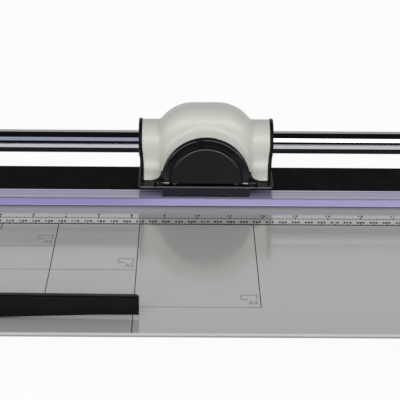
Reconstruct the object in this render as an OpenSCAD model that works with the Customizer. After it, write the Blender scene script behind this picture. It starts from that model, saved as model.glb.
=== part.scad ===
// Rolling-blade paper cutter: a flat grey table with a fixed knife along its rear edge, a chromed
// rail between two end brackets, and a cutting head that slides on the rail and rolls a round
// blade along the knife. x runs along the cut, y to the rear, z up, sizes in millimetres.

/* [Table] */
// Overall width, across the two end covers
table_w = 700; // [680:1:760]
// Depth of the table in front of the cutting line
front_d = 250; // [236:1:320]
// Depth of the base behind the cutting line
rear_d = 70; // [64:1:90]
// Height of the table's upper face above the surface it stands on
table_h = 30; // [26:1:40]
// Thickness of the table plate
plate_t = 2; // [2:0.1:4]
// Depth of the under-frame, from the table's upper face
frame_drop = 14; // [12:0.5:18]
// Width of the bars along and across under the table
bar_w = 14; // [10:1:20]
// Width of the bar under the table's front edge
front_bar_w = 24; // [22:1:30]
// Setback of that bar from the table's front edge
front_inset = 22; // [0:1:30]
// Distance of the two cross bars from the middle
cross_bar_x = 118; // [80:1:160]
// Diameter of a rubber foot
foot_d = 20; // [16:1:22]
// Distance of the feet from the ends of the base
foot_inset = 60; // [54:1:90]

/* [Knife and rear beam] */
// Depth of the fixed knife bar
knife_w = 12; // [9:0.5:16]
// Thickness of the fixed knife bar
knife_t = 5; // [4.5:0.1:7]
// Height of the knife's ground cutting face
knife_land = 2; // [1.8:0.1:3]
// Setback of the relief below the cutting face
knife_relief = 0.8; // [0.4:0.1:1.5]
// Width of the slot behind the knife that the blade runs in
slot_w = 4; // [2.5:0.1:6]
// Drop of the rear deck below the table's upper face
deck_drop = 1; // [0.8:0.1:3]
// Width of the ledge that carries the rear edge of the table plate
ledge_w = 14; // [8:1:24]
// Wall of the hollow rear beam
beam_wall = 3; // [2:0.1:3.4]
// Rounding of the beam's rear upper edge
beam_r = 2.5; // [1.5:0.5:5]
// Distance between the knife's fixing screws
knife_pitch = 110; // [90:1:120]

/* [Rail and end brackets] */
// Outside diameter of the rail tube
rail_d = 18.8; // [16:0.1:22]
// Wall of the rail tube
rail_wall = 2; // [1.5:0.1:3]
// Distance of the rail's axis behind the cutting line
rail_y = 14; // [12.5:0.1:18]
// Height of the rail's axis above the table
rail_z = 41; // [40:0.1:45]
// Thickness of an end bracket along the rail
bracket_t = 12; // [10:0.5:14]
// Radius of an end bracket round the rail
bracket_r = 20; // [17:0.5:22]
// Reach of an end bracket in front of the cutting line
bracket_front = 38; // [34:0.5:50]
// Height of an end bracket's foot above the table
bracket_foot_h = 14; // [12:0.5:18]
// Width of an end cover
end_cover_w = 22; // [18:0.5:28]
// Wall of an end cover
end_cover_wall = 2.4; // [1.6:0.1:3]
// Width of the rubber buffer at each end of the rail
buffer_w = 4; // [3:0.5:6]
// Thickness of the rubber buffer round the rail
buffer_t = 4; // [3:0.5:6]

/* [Clamp bar] */
// Distance of the bar's rear face in front of the cutting line
clamp_rear = 5.6; // [5:0.1:7]
// Depth of the bar's flat top
clamp_top_w = 18.8; // [16:0.1:22]
// How much further forward the foot of the front face reaches
clamp_slope = 2.6; // [1:0.1:4]
// Thickness of the bar
clamp_t = 5.5; // [5:0.1:6]
// Gap between the raised bar and the table
clamp_gap = 1.4; // [1.2:0.1:1.8]
// Length of the tongue at each end, held in a bracket
tongue_l = 9; // [7:0.5:9.5]
// Thickness of the tongue
tongue_t = 3; // [2.5:0.1:3.4]
// Width of the rubber strip under the bar
grip_w = 8; // [6:0.5:10]
// Depth of the groove that the rubber strip sits in
grip_groove = 0.8; // [0.5:0.1:1.2]
// How far the rubber strip stands out of its groove
grip_proud = 0.3; // [0.2:0.1:0.4]

/* [Cutting head] */
// Place of the head along the rail, from the middle
head_x = 6; // [-250:1:250]
// Width of the head over its cheeks
head_w = 107; // [104:1:112]
// Thickness of a cheek
cheek_t = 2.6; // [2.4:0.1:4.5]
// How far a cheek stands out round the cover
cheek_proud = 0.5; // [0.3:0.1:1.5]
// Height of the head's floor above the table
floor_z = 13.4; // [12.5:0.1:14]
// Thickness of the head's floor
floor_t = 1.6; // [1.2:0.1:2]
// Reach of the floor in front of the cutting line
floor_front = 20.8; // [20.5:0.1:21.5]
// Reach of the floor behind the cutting line
floor_rear = 40; // [39.5:0.5:44]
// Rounding of the floor's corners
floor_r = 3; // [2:0.5:5]
// Radius of the cover's sleeve round the rail
sleeve_r = 17.9; // [17.7:0.1:18.8]
// Wall of the head's cover
cover_wall = 2.2; // [1.8:0.1:2.4]
// Reach of the cover's skirt in front of the cutting line
skirt_front = 5.7; // [5:0.1:8]
// Height of the upright part of the skirt
skirt_h = 8; // [6:0.5:10]
// Height of the shoulder between the skirt and the sleeve
shoulder_h = 6; // [4:0.5:8]
// Reach of the skirt behind the cutting line
skirt_rear = 38; // [37.5:0.1:39]
// Width of the cover's dome
dome_w = 81; // [70:1:86]
// Height of the dome's top above the table
dome_top = 72.9; // [70:0.1:76]
// Rounding of the dome seen from the front
dome_r = 38.5; // [20:0.5:40]
// Reach of the dome in front of the cutting line
dome_front = 5.5; // [3:0.1:5.6]
// Reach of the dome behind the cutting line
dome_rear = 29; // [26:0.5:32]
// Rounding of the dome seen from the side
dome_edge_r = 13; // [10:0.5:14]
// Wall of the collar round the blade guard
collar_wall = 2.1; // [1.8:0.1:3]
// How much wider the collar grows from the guard back to the dome
collar_flare = 11; // [8:0.1:12]
// Wall of a rail bush
bush_wall = 2.5; // [2:0.1:2.8]
// Length of a rail bush
bush_l = 16; // [12:0.5:17]
// Wall of the boss that holds a rail bush
boss_wall = 2; // [1.5:0.1:2.2]
// Width of the press shoe that runs on the clamp bar
shoe_w = 68.8; // [64:0.1:72]
// Front of the press shoe, from the cutting line
shoe_front = 22; // [21:0.1:23.5]
// Rear of the press shoe, from the cutting line
shoe_rear = 8; // [7.5:0.1:9]

/* [Cutter wheel] */
// Diameter of the round blade
wheel_d = 45; // [44.5:0.1:46]
// Thickness of the round blade
wheel_t = 0.8; // [0.6:0.1:1.2]
// Depth of the blade's ground edge
wheel_bevel = 2; // [1:0.1:3]
// How far the blade reaches below the table's upper face
wheel_dip = 1.5; // [1:0.1:1.7]
// Diameter of the hub behind the blade
hub_d = 22; // [21:0.5:24]
// Thickness of the hub flange behind the blade
hub_t = 3.6; // [3.2:0.1:4]
// Thickness of the clamping ring in front of the blade
ring_t = 3; // [2.6:0.1:3.4]
// Diameter of the ring in front of the blade
ring_d = 20; // [19:0.5:22]
// Diameter of the hub's centring spigot
spigot_d = 12; // [11:0.1:12.4]
// Diameter of the axle
axle_d = 6; // [5:0.1:6.4]
// Wall of the bearing sleeve in the hub
sleeve_wall = 1.4; // [1:0.1:1.8]
// Circle of the hub's three screws
hub_pitch_d = 16; // [15.6:0.1:16.4]
// Space for the spring washer behind the hub
spring_space = 3.8; // [3:0.1:4]
// Thickness of the upright plate that holds the axle
holder_t = 3; // [2:0.1:3.4]
// Width of the axle holder
holder_w = 28; // [24:1:34]
// Height of the axle holder above the axle
holder_up = 8; // [7:0.5:10]
// Depth of the axle holder's flange
flange_l = 13; // [12:0.5:16]

/* [Blade guard] */
// Radius of the guard's arch
guard_r = 34.9; // [34:0.1:36]
// Height of the arch's centre above the table
guard_z = 19.5; // [19:0.1:21]
// Distance of the guard's rear edge in front of the cutting line
guard_back = 14.6; // [14:0.1:15.5]
// Distance of the guard's front face in front of the cutting line
guard_front = 21; // [20.5:0.1:21.5]
// Wall of the guard
guard_wall = 2; // [1.4:0.1:2.4]
// Radius of the flat panel on the guard's front
panel_r = 27; // [25:0.1:28]
// Thickness of the flat panel
panel_t = 1; // [0.8:0.1:1.2]
// How far the panel stands out of the guard
panel_proud = 0.4; // [0.2:0.1:0.5]
// Height of the guard's lower edge above the hinge axis
guard_lift = 0.2; // [0:0.1:0.5]
// Reach of the flare at the guard's lower corners
flare_w = 5.6; // [4:0.1:6]
// Height of that flare
flare_h = 6; // [4:0.1:8]
// Height of the hinge axis above the table
hinge_z = 17.8; // [17.5:0.1:18.4]
// Distance of the hinge axis in front of the cutting line
hinge_y = 19.6; // [19.2:0.1:20]
// Diameter of the hinge knuckles
knuckle_d = 3.6; // [3.2:0.1:4]
// Diameter of the hinge pins
pin_d = 2; // [1.5:0.1:2.2]
// Inner end of a knuckle, from the guard's middle
knuckle_in = 28; // [26:0.5:30]
// Outer end of a knuckle, from the guard's middle
knuckle_out = 38; // [37:0.5:39]
// Thickness of the ears that hold the hinge pins
ear_t = 3; // [2.5:0.1:4]

/* [Side fence and backstop] */
// Cutting length, which sets the place of the fence
cut_l = 510; // [480:1:516]
// Width of the fence
fence_w = 24; // [20:0.5:30]
// Height of the fence
fence_h = 10; // [9.5:0.1:11]
// Distance of the fence's rear end from the cutting line
fence_rear = 66; // [64:1:80]
// Gap between the fence's front end and the table's edge
fence_inset = 4; // [2:0.5:8]
// Width of the slot in the fence's top
fence_slot_w = 6.4; // [6.2:0.1:7]
// Width of the wider groove below that slot
fence_groove_w = 11; // [10.6:0.1:12]
// Height of that groove
fence_groove_h = 3.6; // [3:0.1:4]
// Thickness of the fence below that groove
fence_floor_t = 3; // [2.5:0.1:3.5]
// Distance of the backstop's working face from the cutting line
stop_y = 224; // [150:1:225]
// Depth of the backstop arm
arm_d = 7; // [5:0.5:9]
// Thickness of the lip along the arm's working face
lip_t = 2; // [1.5:0.1:3]
// Reach of the arm, from the fence
arm_l = 213; // [120:1:240]
// Height of the arm's top at its root
arm_root_h = 18.4; // [17:0.1:20]
// Height of the arm's top at its tip
arm_tip_h = 16.7; // [14:0.1:17]
// Height of the arm's underside at its tip
arm_tip_z = 4.6; // [2:0.1:6]
// Length of the arm's rising underside
arm_rise_l = 137; // [80:1:180]
// Rounding of the arm's tip
arm_tip_r = 2.4; // [1:0.1:2.4]
// Length of the sliding block along the fence
block_l = 36; // [30:1:40]
// Thickness of the sliding block
block_h = 11; // [10:0.5:14]
// Diameter of the clamping bolt
bolt_d = 5; // [4:0.1:5.6]
// Length of the bolt's flat head in the groove
bolt_head_l = 16; // [12:0.5:24]
// Diameter of the clamping knob
knob_d = 24; // [20:0.5:30]
// Height of the clamping knob
knob_h = 12; // [10:0.5:16]
// Number of grip flutes round the knob
knob_flutes = 8; // [6:1:10]

/* [Fits and fasteners] */
// Radial clearance of pieces that turn or slide on a round one
run_fit = 0.05; // [0.02:0.01:0.09]
// Clearance of pieces seated in one another
seat_fit = 0.05; // [0.02:0.01:0.1]
// Clearance between pieces that pass each other
pass_gap = 0.35; // [0.3:0.05:0.4]
// Diameter of the frame screws
screw_d = 4; // [3:0.1:5]
// Diameter of their heads
screw_head_d = 8; // [7:0.1:9]
// Height of their heads
screw_head_h = 2.6; // [2:0.1:3]
// Diameter of the small screws in the head
small_d = 2.4; // [2:0.1:2.6]
// Diameter of the small screws' heads
small_head_d = 4.4; // [4:0.1:4.8]
// Height of the small screws' heads
small_head_h = 1.6; // [1.2:0.1:1.8]
// Diameter of the bolts in the rail's ends
rail_bolt_d = 8; // [6:0.1:9]
// Width across the flats of those bolts
rail_bolt_af = 13; // [12:0.1:14]

/* [Hidden] */
$fn = 96;
cut_y = (front_d - rear_d) / 2;
through = 1;
bracket_x = table_w / 2 - end_cover_w - bracket_t;
cover_x = bracket_x + bracket_t;
rail_r = rail_d / 2;
rail_bore_r = rail_r - rail_wall;
rail_c = [rail_y, rail_z];
plate_rear = knife_w + seat_fit;
ledge_y = knife_w + ledge_w;
beam_half = table_w / 2 - end_cover_wall - seat_fit;
foot_h = table_h - frame_drop;
foot_x = table_w / 2 - foot_inset;
front_bar_y = [-front_d + front_inset, -front_d + front_inset + front_bar_w];
rear_foot_in = 20;
foot_y = [(front_bar_y[0] + front_bar_y[1]) / 2, rear_d - rear_foot_in];
foot_screw_l = 12;
foot_recess = 5;
foot_screw_gap = 1;
foot_screw_tip = -frame_drop + foot_screw_l - foot_recess;
hole_extra = 0.1;
screw_r = screw_d / 2;
screw_hole_r = screw_r + hole_extra;
screw_head_r = screw_head_d / 2;
small_r = small_d / 2;
small_hole_r = small_r + hole_extra;
small_head_r = small_head_d / 2;
bracket_screw_in = 8;
bracket_screw_back = 22;
bracket_screw_y = [slot_w + bracket_screw_in, rear_d - bracket_screw_back];
bracket_screw_tip = 8;
end_screw_z = 7;
end_screw_in = [6.5, 7];
end_screw_y = [-bracket_front + end_screw_in[0], rear_d - end_screw_in[1]];
end_boss_wall = 2;
end_boss_r = screw_head_r + end_boss_wall;
end_screw_grip = 6;
washer_rim = 4;
washer_r = rail_r + washer_rim;
washer_t = 2;
touch_in = 0.3;
rail_plug_l = 24;
rail_bolt_l = 18;
rail_bolt_head = 5;

clamp_top = clamp_gap + clamp_t;
clamp_front = clamp_rear + clamp_top_w;
clamp_foot = clamp_front + clamp_slope;
clamp_edge = 0.6;
clamp_end = bracket_x - pass_gap;
clamp_middle = clamp_rear + clamp_top_w / 2;
grip_inset = 10;
grip_end = bracket_x - grip_inset;
spring_rise = clamp_top - tongue_t - seat_fit;
spring_play = 1;
spring_chord = tongue_l - spring_play;
spring_t = 0.4;
spring_w = 12;

head_half = head_w / 2;
cover_half = head_half - cheek_t;
floor_top = floor_z + floor_t;
boss_r = rail_r + run_fit + bush_wall + seat_fit + boss_wall;
bush_r = rail_r + run_fit + bush_wall;
skirt_top = floor_top + skirt_h;
rear_lean = 1;
rear_skirt_h = 10;
dome_flat = 1;
dome_corner = min(dome_r, dome_w / 2 - dome_flat);
collar_lap = 0.3;
collar_r = guard_r + collar_lap;
collar_front = guard_back - pass_gap;
opening_r = collar_r - collar_wall;
post_r = 3.4;
post_h = 10;
post_bury = 1;
post_x = cover_half - post_r - post_bury;
post_y = [-skirt_front + cover_wall + post_r - post_bury, skirt_rear - cover_wall - post_r + post_bury];
post_bore_end = 2;
post_screw_end = 3;
shoe_z = clamp_top + pass_gap;
shoe_nose = 4;
shoe_nose_h = 1;
shoe_bore_floor = 1.5;
shoe_screw_floor = 2;
shoe_screw_in = 10;
shoe_screw_x = shoe_w / 2 - shoe_screw_in;
shoe_screw_y = -(shoe_front + shoe_rear) / 2;

wheel_r = wheel_d / 2;
wheel_z = wheel_r - wheel_dip;
wheel_front = 0.1;
wheel_back = wheel_front + wheel_t;
hub_r = hub_d / 2;
hub_back = wheel_back + hub_t;
ring_r = ring_d / 2;
ring_front = wheel_front - ring_t;
spigot_r = spigot_d / 2;
axle_r = axle_d / 2;
sleeve_in = axle_r + run_fit;
sleeve_out = sleeve_in + sleeve_wall;
holder_y = hub_back + spring_space;
holder_back = holder_y + holder_t;
axle_head_rim = 1.6;
axle_head_r = axle_r + axle_head_rim;
axle_head_t = 2.6;
spacer_t = 3;
turn_gap = 0.2;
spacer_front = ring_front - turn_gap - spacer_t;
nut_t = 3.6;
nut_front = spacer_front - nut_t;
nut_af = 8;
axle_stub = 1;
axle_front = nut_front - axle_stub;
spring_rim = 2.2;
spring_out = axle_r + spring_rim;
spring_wall = 0.5;
hub_screw_r = 1;
hub_screw_head_r = 1.8;
hub_screw_head_h = 1.2;
hub_skin = 0.6;
hub_screw_tip = hub_back - hub_skin;
wheel_edge = 0.1;
wheel_slot_gap = [1.5, 1.4, 1.2];
wheel_slot_x = wheel_r + wheel_slot_gap[0];
wheel_slot_front = ring_front - wheel_slot_gap[1];
wheel_slot_back = hub_back + wheel_slot_gap[2];
flange_t = 2.6;
lug_gap = 1;
lug_in = axle_head_r + lug_gap;
holder_screw_x = (lug_in + holder_w / 2) / 2;
holder_screw_in = 4;
holder_screw_y = holder_back + flange_l - holder_screw_in;

guard_low = hinge_z + guard_lift;
knuckle_r = knuckle_d / 2;
pin_r = pin_d / 2;
ear_in = knuckle_out + pass_gap;
ear_rim = 0.2;
ear_r = knuckle_r + ear_rim;
pin_bury = 1;
rim_flat = 1.6;
rim_step = 2;
panel_rim = 1;
panel_step = 1.2;
flare_t = 1.8;
flare_root = 3;
flare_r = max(flare_w, flare_h);

fence_x = -cut_l / 2 - fence_w / 2;
fence_front = front_d - fence_inset;
fence_screw_in = [12, 16];
fence_screw_y = [front_bar_y[1] + fence_screw_in[0], -(fence_front + fence_rear) / 2,
  -fence_rear - fence_screw_in[1]];
fence_bore_skin = 0.6;
fence_screw_skin = 1;
block_z = fence_h + pass_gap;
block_top = block_z + block_h;
block_y = -stop_y - arm_d / 2;
block_lap = [4, 6];
block_right = fence_w / 2 + block_lap[1];
block_left = -fence_w / 2 - block_lap[0];
tongue_w = fence_slot_w - 2 * pass_gap;
arm_x0 = fence_w / 2 + pass_gap;
arm_x1 = fence_w / 2 + arm_l;
arm_z = 0.4;
groove_top = fence_floor_t + fence_groove_h;
bolt_head_z = [fence_floor_t + pass_gap, groove_top - pass_gap];
bolt_reach = 8;
bolt_tip = block_top + bolt_reach;
bolt_play = 0.5;
knob_z = block_top + pass_gap;
knob_r = knob_d / 2;
flute_r = 3;
knob_neck_h = 2;
knob_neck_r = knob_r - flute_r;

// The sub-part to draw

// Point where a line from p touches a circle, on the chosen side
function touch(p, c, r, side) =
  let (d = c - p, l = norm(d), a = atan2(d.y, d.x) + side * asin(r / l), t = sqrt(l * l - r * r))
    p + t * [cos(a), sin(a)];

// Frames: the base sits with its cutting line at cut_y, the head at its place along the rail
module on_base() {
  translate([0, cut_y, table_h]) children();
}

module on_head() {
  translate([head_x, cut_y, table_h]) children();
}

module on_wheel() {
  on_head() translate([0, 0, wheel_z]) children();
}

module on_fence() {
  translate([fence_x, cut_y, table_h]) children();
}

module on_both_sides() {
  children();
  mirror([1, 0, 0]) children();
}

// Shapes: extrusions of an upright outline, round rods along each axis, a box between two corners
module along_x(x0, x1) {
  translate([x0, 0, 0]) rotate([90, 0, 90]) linear_extrude(x1 - x0) children();
}

module along_y(y0, y1) {
  translate([0, y1, 0]) rotate([90, 0, 0]) linear_extrude(y1 - y0) children();
}

module rod_x(r, x0, x1) {
  translate([x0, 0, 0]) rotate([0, 90, 0]) cylinder(h = x1 - x0, r = r);
}

module rod_y(r, y0, y1) {
  translate([0, y0, 0]) rotate([-90, 0, 0]) cylinder(h = y1 - y0, r = r);
}

module rod_z(r, z0, z1) {
  translate([0, 0, z0]) cylinder(h = z1 - z0, r = r);
}

module box(low, high) {
  translate(low) cube(high - low);
}

// Solid turned round the y axis from an outline of radius and y
module turned_y() {
  rotate([-90, 0, 0]) rotate_extrude() children();
}

// Rectangle with rounded upper corners
module arch_outline(half_w, low, high, r) {
  translate([-half_w, low]) square([2 * half_w, high - low - r]);
  translate([-half_w + r, low]) square([2 * (half_w - r), high - low]);
  translate([-half_w + r, high - r]) circle(r);
  translate([half_w - r, high - r]) circle(r);
}

// Screw pointing up from below, head at the lower end
module screw_up(r, head_r, head_h, low, tip) {
  rod_z(head_r, low, low + head_h);
  rod_z(r, low, tip);
}

// Screw pointing down, head at the upper end
module screw_down(r, head_r, head_h, high, tip) {
  rod_z(head_r, high - head_h, high);
  rod_z(r, tip, high);
}

module table_top() {
  color([0.66, 0.66, 0.65]) on_base() difference() {
    box([-table_w / 2, -front_d, -plate_t], [table_w / 2, -plate_rear, 0]);
    for (y = fence_screw_y)
      translate([fence_x, y, 0]) rod_z(screw_hole_r, -plate_t - through, through);
  }
}

module front_bar() {
  color([0.6, 0.6, 0.59]) on_base() difference() {
    box([-table_w / 2, front_bar_y[0], -frame_drop], [table_w / 2, front_bar_y[1], -plate_t]);
    for (side = [-1, 1])
      translate([side * foot_x, foot_y[0], 0])
        rod_z(screw_hole_r, -frame_drop - through, foot_screw_tip);
  }
}

module long_bar(x) {
  on_base()
    box([x - bar_w / 2, front_bar_y[1], -frame_drop], [x + bar_w / 2, -ledge_y, -plate_t]);
}

module left_bar() {
  color([0.6, 0.6, 0.59]) long_bar(-table_w / 2 + bar_w / 2);
}

module right_bar() {
  color([0.6, 0.6, 0.59]) long_bar(table_w / 2 - bar_w / 2);
}

module left_cross_bar() {
  color([0.2, 0.2, 0.2]) long_bar(-cross_bar_x);
}

module right_cross_bar() {
  color([0.2, 0.2, 0.2]) long_bar(cross_bar_x);
}

module beam_outline() {
  difference() {
    polygon([
      [-ledge_y, -plate_t], [-knife_w - seat_fit, -plate_t], [-knife_w - seat_fit, -knife_t],
      [slot_w, -knife_t], [slot_w, -deck_drop], [rear_d, -deck_drop], [rear_d, -frame_drop],
      [-ledge_y, -frame_drop]
    ]);
    translate([slot_w + beam_wall, -frame_drop + beam_wall])
      square([rear_d - slot_w - 2 * beam_wall, frame_drop - deck_drop - 2 * beam_wall]);
    difference() {
      translate([rear_d - beam_r, -deck_drop - beam_r]) square(beam_r + through);
      translate([rear_d - beam_r, -deck_drop - beam_r]) circle(beam_r);
    }
  }
}

module knife_screw_places() {
  for (i = [-2.5:2.5])
    translate([i * knife_pitch, -knife_w / 2, 0]) children();
}

module rear_beam() {
  color([0.04, 0.04, 0.045]) on_base() difference() {
    along_x(-beam_half, beam_half) beam_outline();
    knife_screw_places() {
      rod_z(screw_hole_r, -frame_drop - through, through);
      rod_z(screw_head_r + hole_extra, -frame_drop - through, -frame_drop + screw_head_h);
    }
    on_both_sides() for (y = bracket_screw_y)
      translate([bracket_x + bracket_t / 2, y, 0]) {
        rod_z(screw_hole_r, -frame_drop - through, through);
        rod_z(screw_head_r + hole_extra, -frame_drop - through, -frame_drop + beam_wall / 2);
      }
    for (side = [-1, 1])
      translate([side * foot_x, foot_y[1], 0])
        rod_z(screw_hole_r, -frame_drop - through, foot_screw_tip);
  }
}

module fixed_knife() {
  color([0.72, 0.73, 0.75]) on_base() difference() {
    along_x(-beam_half, beam_half) polygon([
      [-knife_w, 0], [0, 0], [0, -knife_land], [-knife_relief, -knife_land - knife_relief],
      [-knife_relief, -knife_t], [-knife_w, -knife_t]
    ]);
    knife_screw_places() rod_z(screw_hole_r, -knife_t - through, -knife_land / 2);
  }
}

module knife_screws() {
  color([0.6, 0.6, 0.62]) on_base() knife_screw_places()
    screw_up(screw_r, screw_head_r, screw_head_h, -frame_drop, -knife_land);
}

module rubber_foot(x, y) {
  on_base() translate([x, y, 0]) difference() {
    rod_z(foot_d / 2, -table_h, -frame_drop);
    rod_z(screw_hole_r, -table_h - through, -frame_drop + through);
    rod_z(screw_head_r + hole_extra, -table_h - through, -table_h + foot_recess);
  }
}

module front_left_foot() {
  color([0.07, 0.07, 0.07]) rubber_foot(-foot_x, foot_y[0]);
}

module front_right_foot() {
  color([0.07, 0.07, 0.07]) rubber_foot(foot_x, foot_y[0]);
}

module rear_left_foot() {
  color([0.07, 0.07, 0.07]) rubber_foot(-foot_x, foot_y[1]);
}

module rear_right_foot() {
  color([0.07, 0.07, 0.07]) rubber_foot(foot_x, foot_y[1]);
}

module foot_screws() {
  color([0.6, 0.6, 0.62]) on_base() for (side = [-1, 1], y = foot_y)
    translate([side * foot_x, y, 0])
      screw_up(screw_r, screw_head_r, screw_head_h, -table_h + foot_recess - screw_head_h,
        foot_screw_tip - foot_screw_gap);
}

// Block with the side outline shared by the end brackets and their covers, drawn smaller by inset
module end_block(x0, x1, inset) {
  r = bracket_r - inset;
  front = [-bracket_front + inset, bracket_foot_h - inset];
  rear = [rear_d - inset, bracket_foot_h - inset];
  union() {
    translate([0, rail_y, rail_z]) rod_x(r, x0, x1);
    along_x(x0, x1) polygon([
      [front.x, inset], front, touch(front, rail_c, r - touch_in, 1),
      touch(rear, rail_c, r - touch_in, -1), rear, [rear.x, inset - deck_drop],
      [slot_w + inset, inset - deck_drop], [slot_w + inset, inset]
    ]);
  }
}

module bracket() {
  on_base() difference() {
    end_block(bracket_x, cover_x, 0);
    translate([0, rail_y, rail_z]) rod_x(rail_r + seat_fit, bracket_x - through, cover_x + through);
    box([bracket_x - through, -clamp_foot - pass_gap, -through],
      [bracket_x + tongue_l + pass_gap, -clamp_rear + pass_gap, clamp_top + pass_gap]);
    for (y = bracket_screw_y)
      translate([bracket_x + bracket_t / 2, y, 0])
        rod_z(screw_hole_r, -deck_drop - through, bracket_screw_tip + hole_extra);
    for (y = end_screw_y)
      translate([0, y, end_screw_z])
        rod_x(screw_hole_r, cover_x - end_screw_grip - hole_extra, cover_x + through);
  }
}

module left_bracket() {
  color([0.05, 0.05, 0.055]) mirror([1, 0, 0]) bracket();
}

module right_bracket() {
  color([0.05, 0.05, 0.055]) bracket();
}

module bracket_screws() {
  color([0.6, 0.6, 0.62]) on_base() on_both_sides() for (y = bracket_screw_y)
    translate([bracket_x + bracket_t / 2, y, 0])
      screw_up(screw_r, screw_head_r, screw_head_h, -frame_drop + beam_wall / 2 - screw_head_h,
        bracket_screw_tip);
}

// Apron of an end cover, closing the end of the hollow beam
module apron_outline() {
  polygon([
    [-ledge_y + seat_fit, -frame_drop], [-ledge_y + seat_fit, -plate_t - seat_fit],
    [-knife_w, -plate_t - seat_fit], [-knife_w, end_cover_wall], [rear_d - end_cover_wall, end_cover_wall],
    [rear_d - end_cover_wall, -deck_drop + end_cover_wall], [rear_d, -deck_drop + end_cover_wall],
    [rear_d, -frame_drop]
  ]);
}

module end_cover() {
  on_base() difference() {
    union() {
      along_x(table_w / 2 - end_cover_wall, table_w / 2) apron_outline();
      difference() {
        end_block(cover_x, table_w / 2, 0);
        end_block(cover_x - through, table_w / 2 - end_cover_wall, end_cover_wall);
      }
      for (y = end_screw_y)
        translate([0, y, end_screw_z]) intersection() {
          rod_x(end_boss_r, cover_x, table_w / 2);
          translate([0, -y, -end_screw_z]) end_block(cover_x, table_w / 2, 0);
        }
    }
    for (y = end_screw_y)
      translate([0, y, end_screw_z]) {
        rod_x(screw_hole_r, cover_x - through, table_w / 2 + through);
        rod_x(screw_head_r + hole_extra, table_w / 2 - screw_head_h, table_w / 2 + through);
      }
  }
}

module left_end_cover() {
  color([0.82, 0.81, 0.77]) mirror([1, 0, 0]) end_cover();
}

module right_end_cover() {
  color([0.82, 0.81, 0.77]) end_cover();
}

module end_cover_screws() {
  color([0.25, 0.25, 0.26]) on_base() on_both_sides() for (y = end_screw_y)
    translate([0, y, end_screw_z]) {
      rod_x(screw_head_r, table_w / 2 - screw_head_h, table_w / 2);
      rod_x(screw_r, cover_x - end_screw_grip, table_w / 2);
    }
}

module rail() {
  color([0.8, 0.81, 0.83]) on_base() translate([0, rail_y, rail_z]) difference() {
    rod_x(rail_r, -cover_x, cover_x);
    rod_x(rail_bore_r, -cover_x - through, cover_x + through);
  }
}

module rail_plugs() {
  color([0.45, 0.45, 0.47]) on_base() on_both_sides() translate([0, rail_y, rail_z]) difference() {
    rod_x(rail_bore_r - seat_fit, cover_x - rail_plug_l, cover_x);
    rod_x(rail_bolt_d / 2 + hole_extra, cover_x - rail_bolt_l - through, cover_x + through);
  }
}

module rail_bolts() {
  color([0.6, 0.6, 0.62]) on_base() on_both_sides() translate([0, rail_y, rail_z]) {
    rod_x(washer_r, cover_x, cover_x + washer_t);
    translate([cover_x + washer_t, 0, 0]) rotate([0, 90, 0])
      cylinder(h = rail_bolt_head, r = rail_bolt_af / sqrt(3), $fn = 6);
    rod_x(rail_bolt_d / 2, cover_x - rail_bolt_l, cover_x + washer_t);
  }
}

module buffer() {
  on_base() translate([0, rail_y, rail_z]) difference() {
    rod_x(rail_r + buffer_t, bracket_x - buffer_w, bracket_x);
    rod_x(rail_r + seat_fit, bracket_x - buffer_w - through, bracket_x + through);
  }
}

module left_buffer() {
  color([0.07, 0.07, 0.07]) mirror([1, 0, 0]) buffer();
}

module right_buffer() {
  color([0.07, 0.07, 0.07]) buffer();
}

// Bowed leaf that carries one end of the clamp bar
module clamp_spring() {
  bow_r = (spring_chord * spring_chord / 4 + spring_rise * spring_rise) / (2 * spring_rise);
  bow_x = bracket_x + (tongue_l + spring_play) / 2;
  on_base() along_y(-clamp_middle - spring_w / 2, -clamp_middle + spring_w / 2) intersection() {
    translate([bow_x, spring_rise - bow_r]) difference() {
      circle(bow_r);
      circle(bow_r - spring_t);
    }
    translate([bow_x - spring_chord, 0]) square([2 * spring_chord, spring_rise + through]);
  }
}

module left_clamp_spring() {
  color([0.6, 0.6, 0.62]) mirror([1, 0, 0]) clamp_spring();
}

module right_clamp_spring() {
  color([0.6, 0.6, 0.62]) clamp_spring();
}

module side_fence() {
  color([0.7, 0.71, 0.72]) on_fence() difference() {
    box([-fence_w / 2, -fence_front, 0], [fence_w / 2, -fence_rear, fence_h]);
    box([-fence_groove_w / 2, -fence_front - through, fence_floor_t],
      [fence_groove_w / 2, -fence_rear + through, groove_top]);
    box([-fence_slot_w / 2, -fence_front - through, fence_floor_t],
      [fence_slot_w / 2, -fence_rear + through, fence_h + through]);
    for (y = fence_screw_y)
      translate([0, y, 0]) rod_z(screw_hole_r, -through, fence_floor_t - fence_bore_skin);
  }
}

module fence_screws() {
  color([0.6, 0.6, 0.62]) on_fence() for (y = fence_screw_y)
    translate([0, y, 0])
      screw_up(screw_r, screw_head_r, screw_head_h, -plate_t - screw_head_h,
        fence_floor_t - fence_screw_skin);
}

module clamp_bar() {
  color([0.58, 0.55, 0.78]) on_base() difference() {
    union() {
      along_x(-clamp_end, clamp_end) polygon([
        [-clamp_rear, clamp_gap], [-clamp_rear, clamp_top - clamp_edge],
        [-clamp_rear - clamp_edge, clamp_top], [-clamp_front, clamp_top],
        [-clamp_foot, clamp_gap + clamp_edge], [-clamp_foot, clamp_gap]
      ]);
      box([-bracket_x - tongue_l, -clamp_front, clamp_top - tongue_t],
        [bracket_x + tongue_l, -clamp_rear - clamp_edge, clamp_top]);
    }
    box([-grip_end, -clamp_middle - grip_w / 2, clamp_gap - through],
      [grip_end, -clamp_middle + grip_w / 2, clamp_gap + grip_groove]);
  }
}

module clamp_grip() {
  color([0.5, 0.48, 0.64]) on_base()
    box([-grip_end + seat_fit, -clamp_middle - grip_w / 2 + seat_fit, clamp_gap - grip_proud],
      [grip_end - seat_fit, -clamp_middle + grip_w / 2 - seat_fit, clamp_gap + grip_groove]);
}

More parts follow.
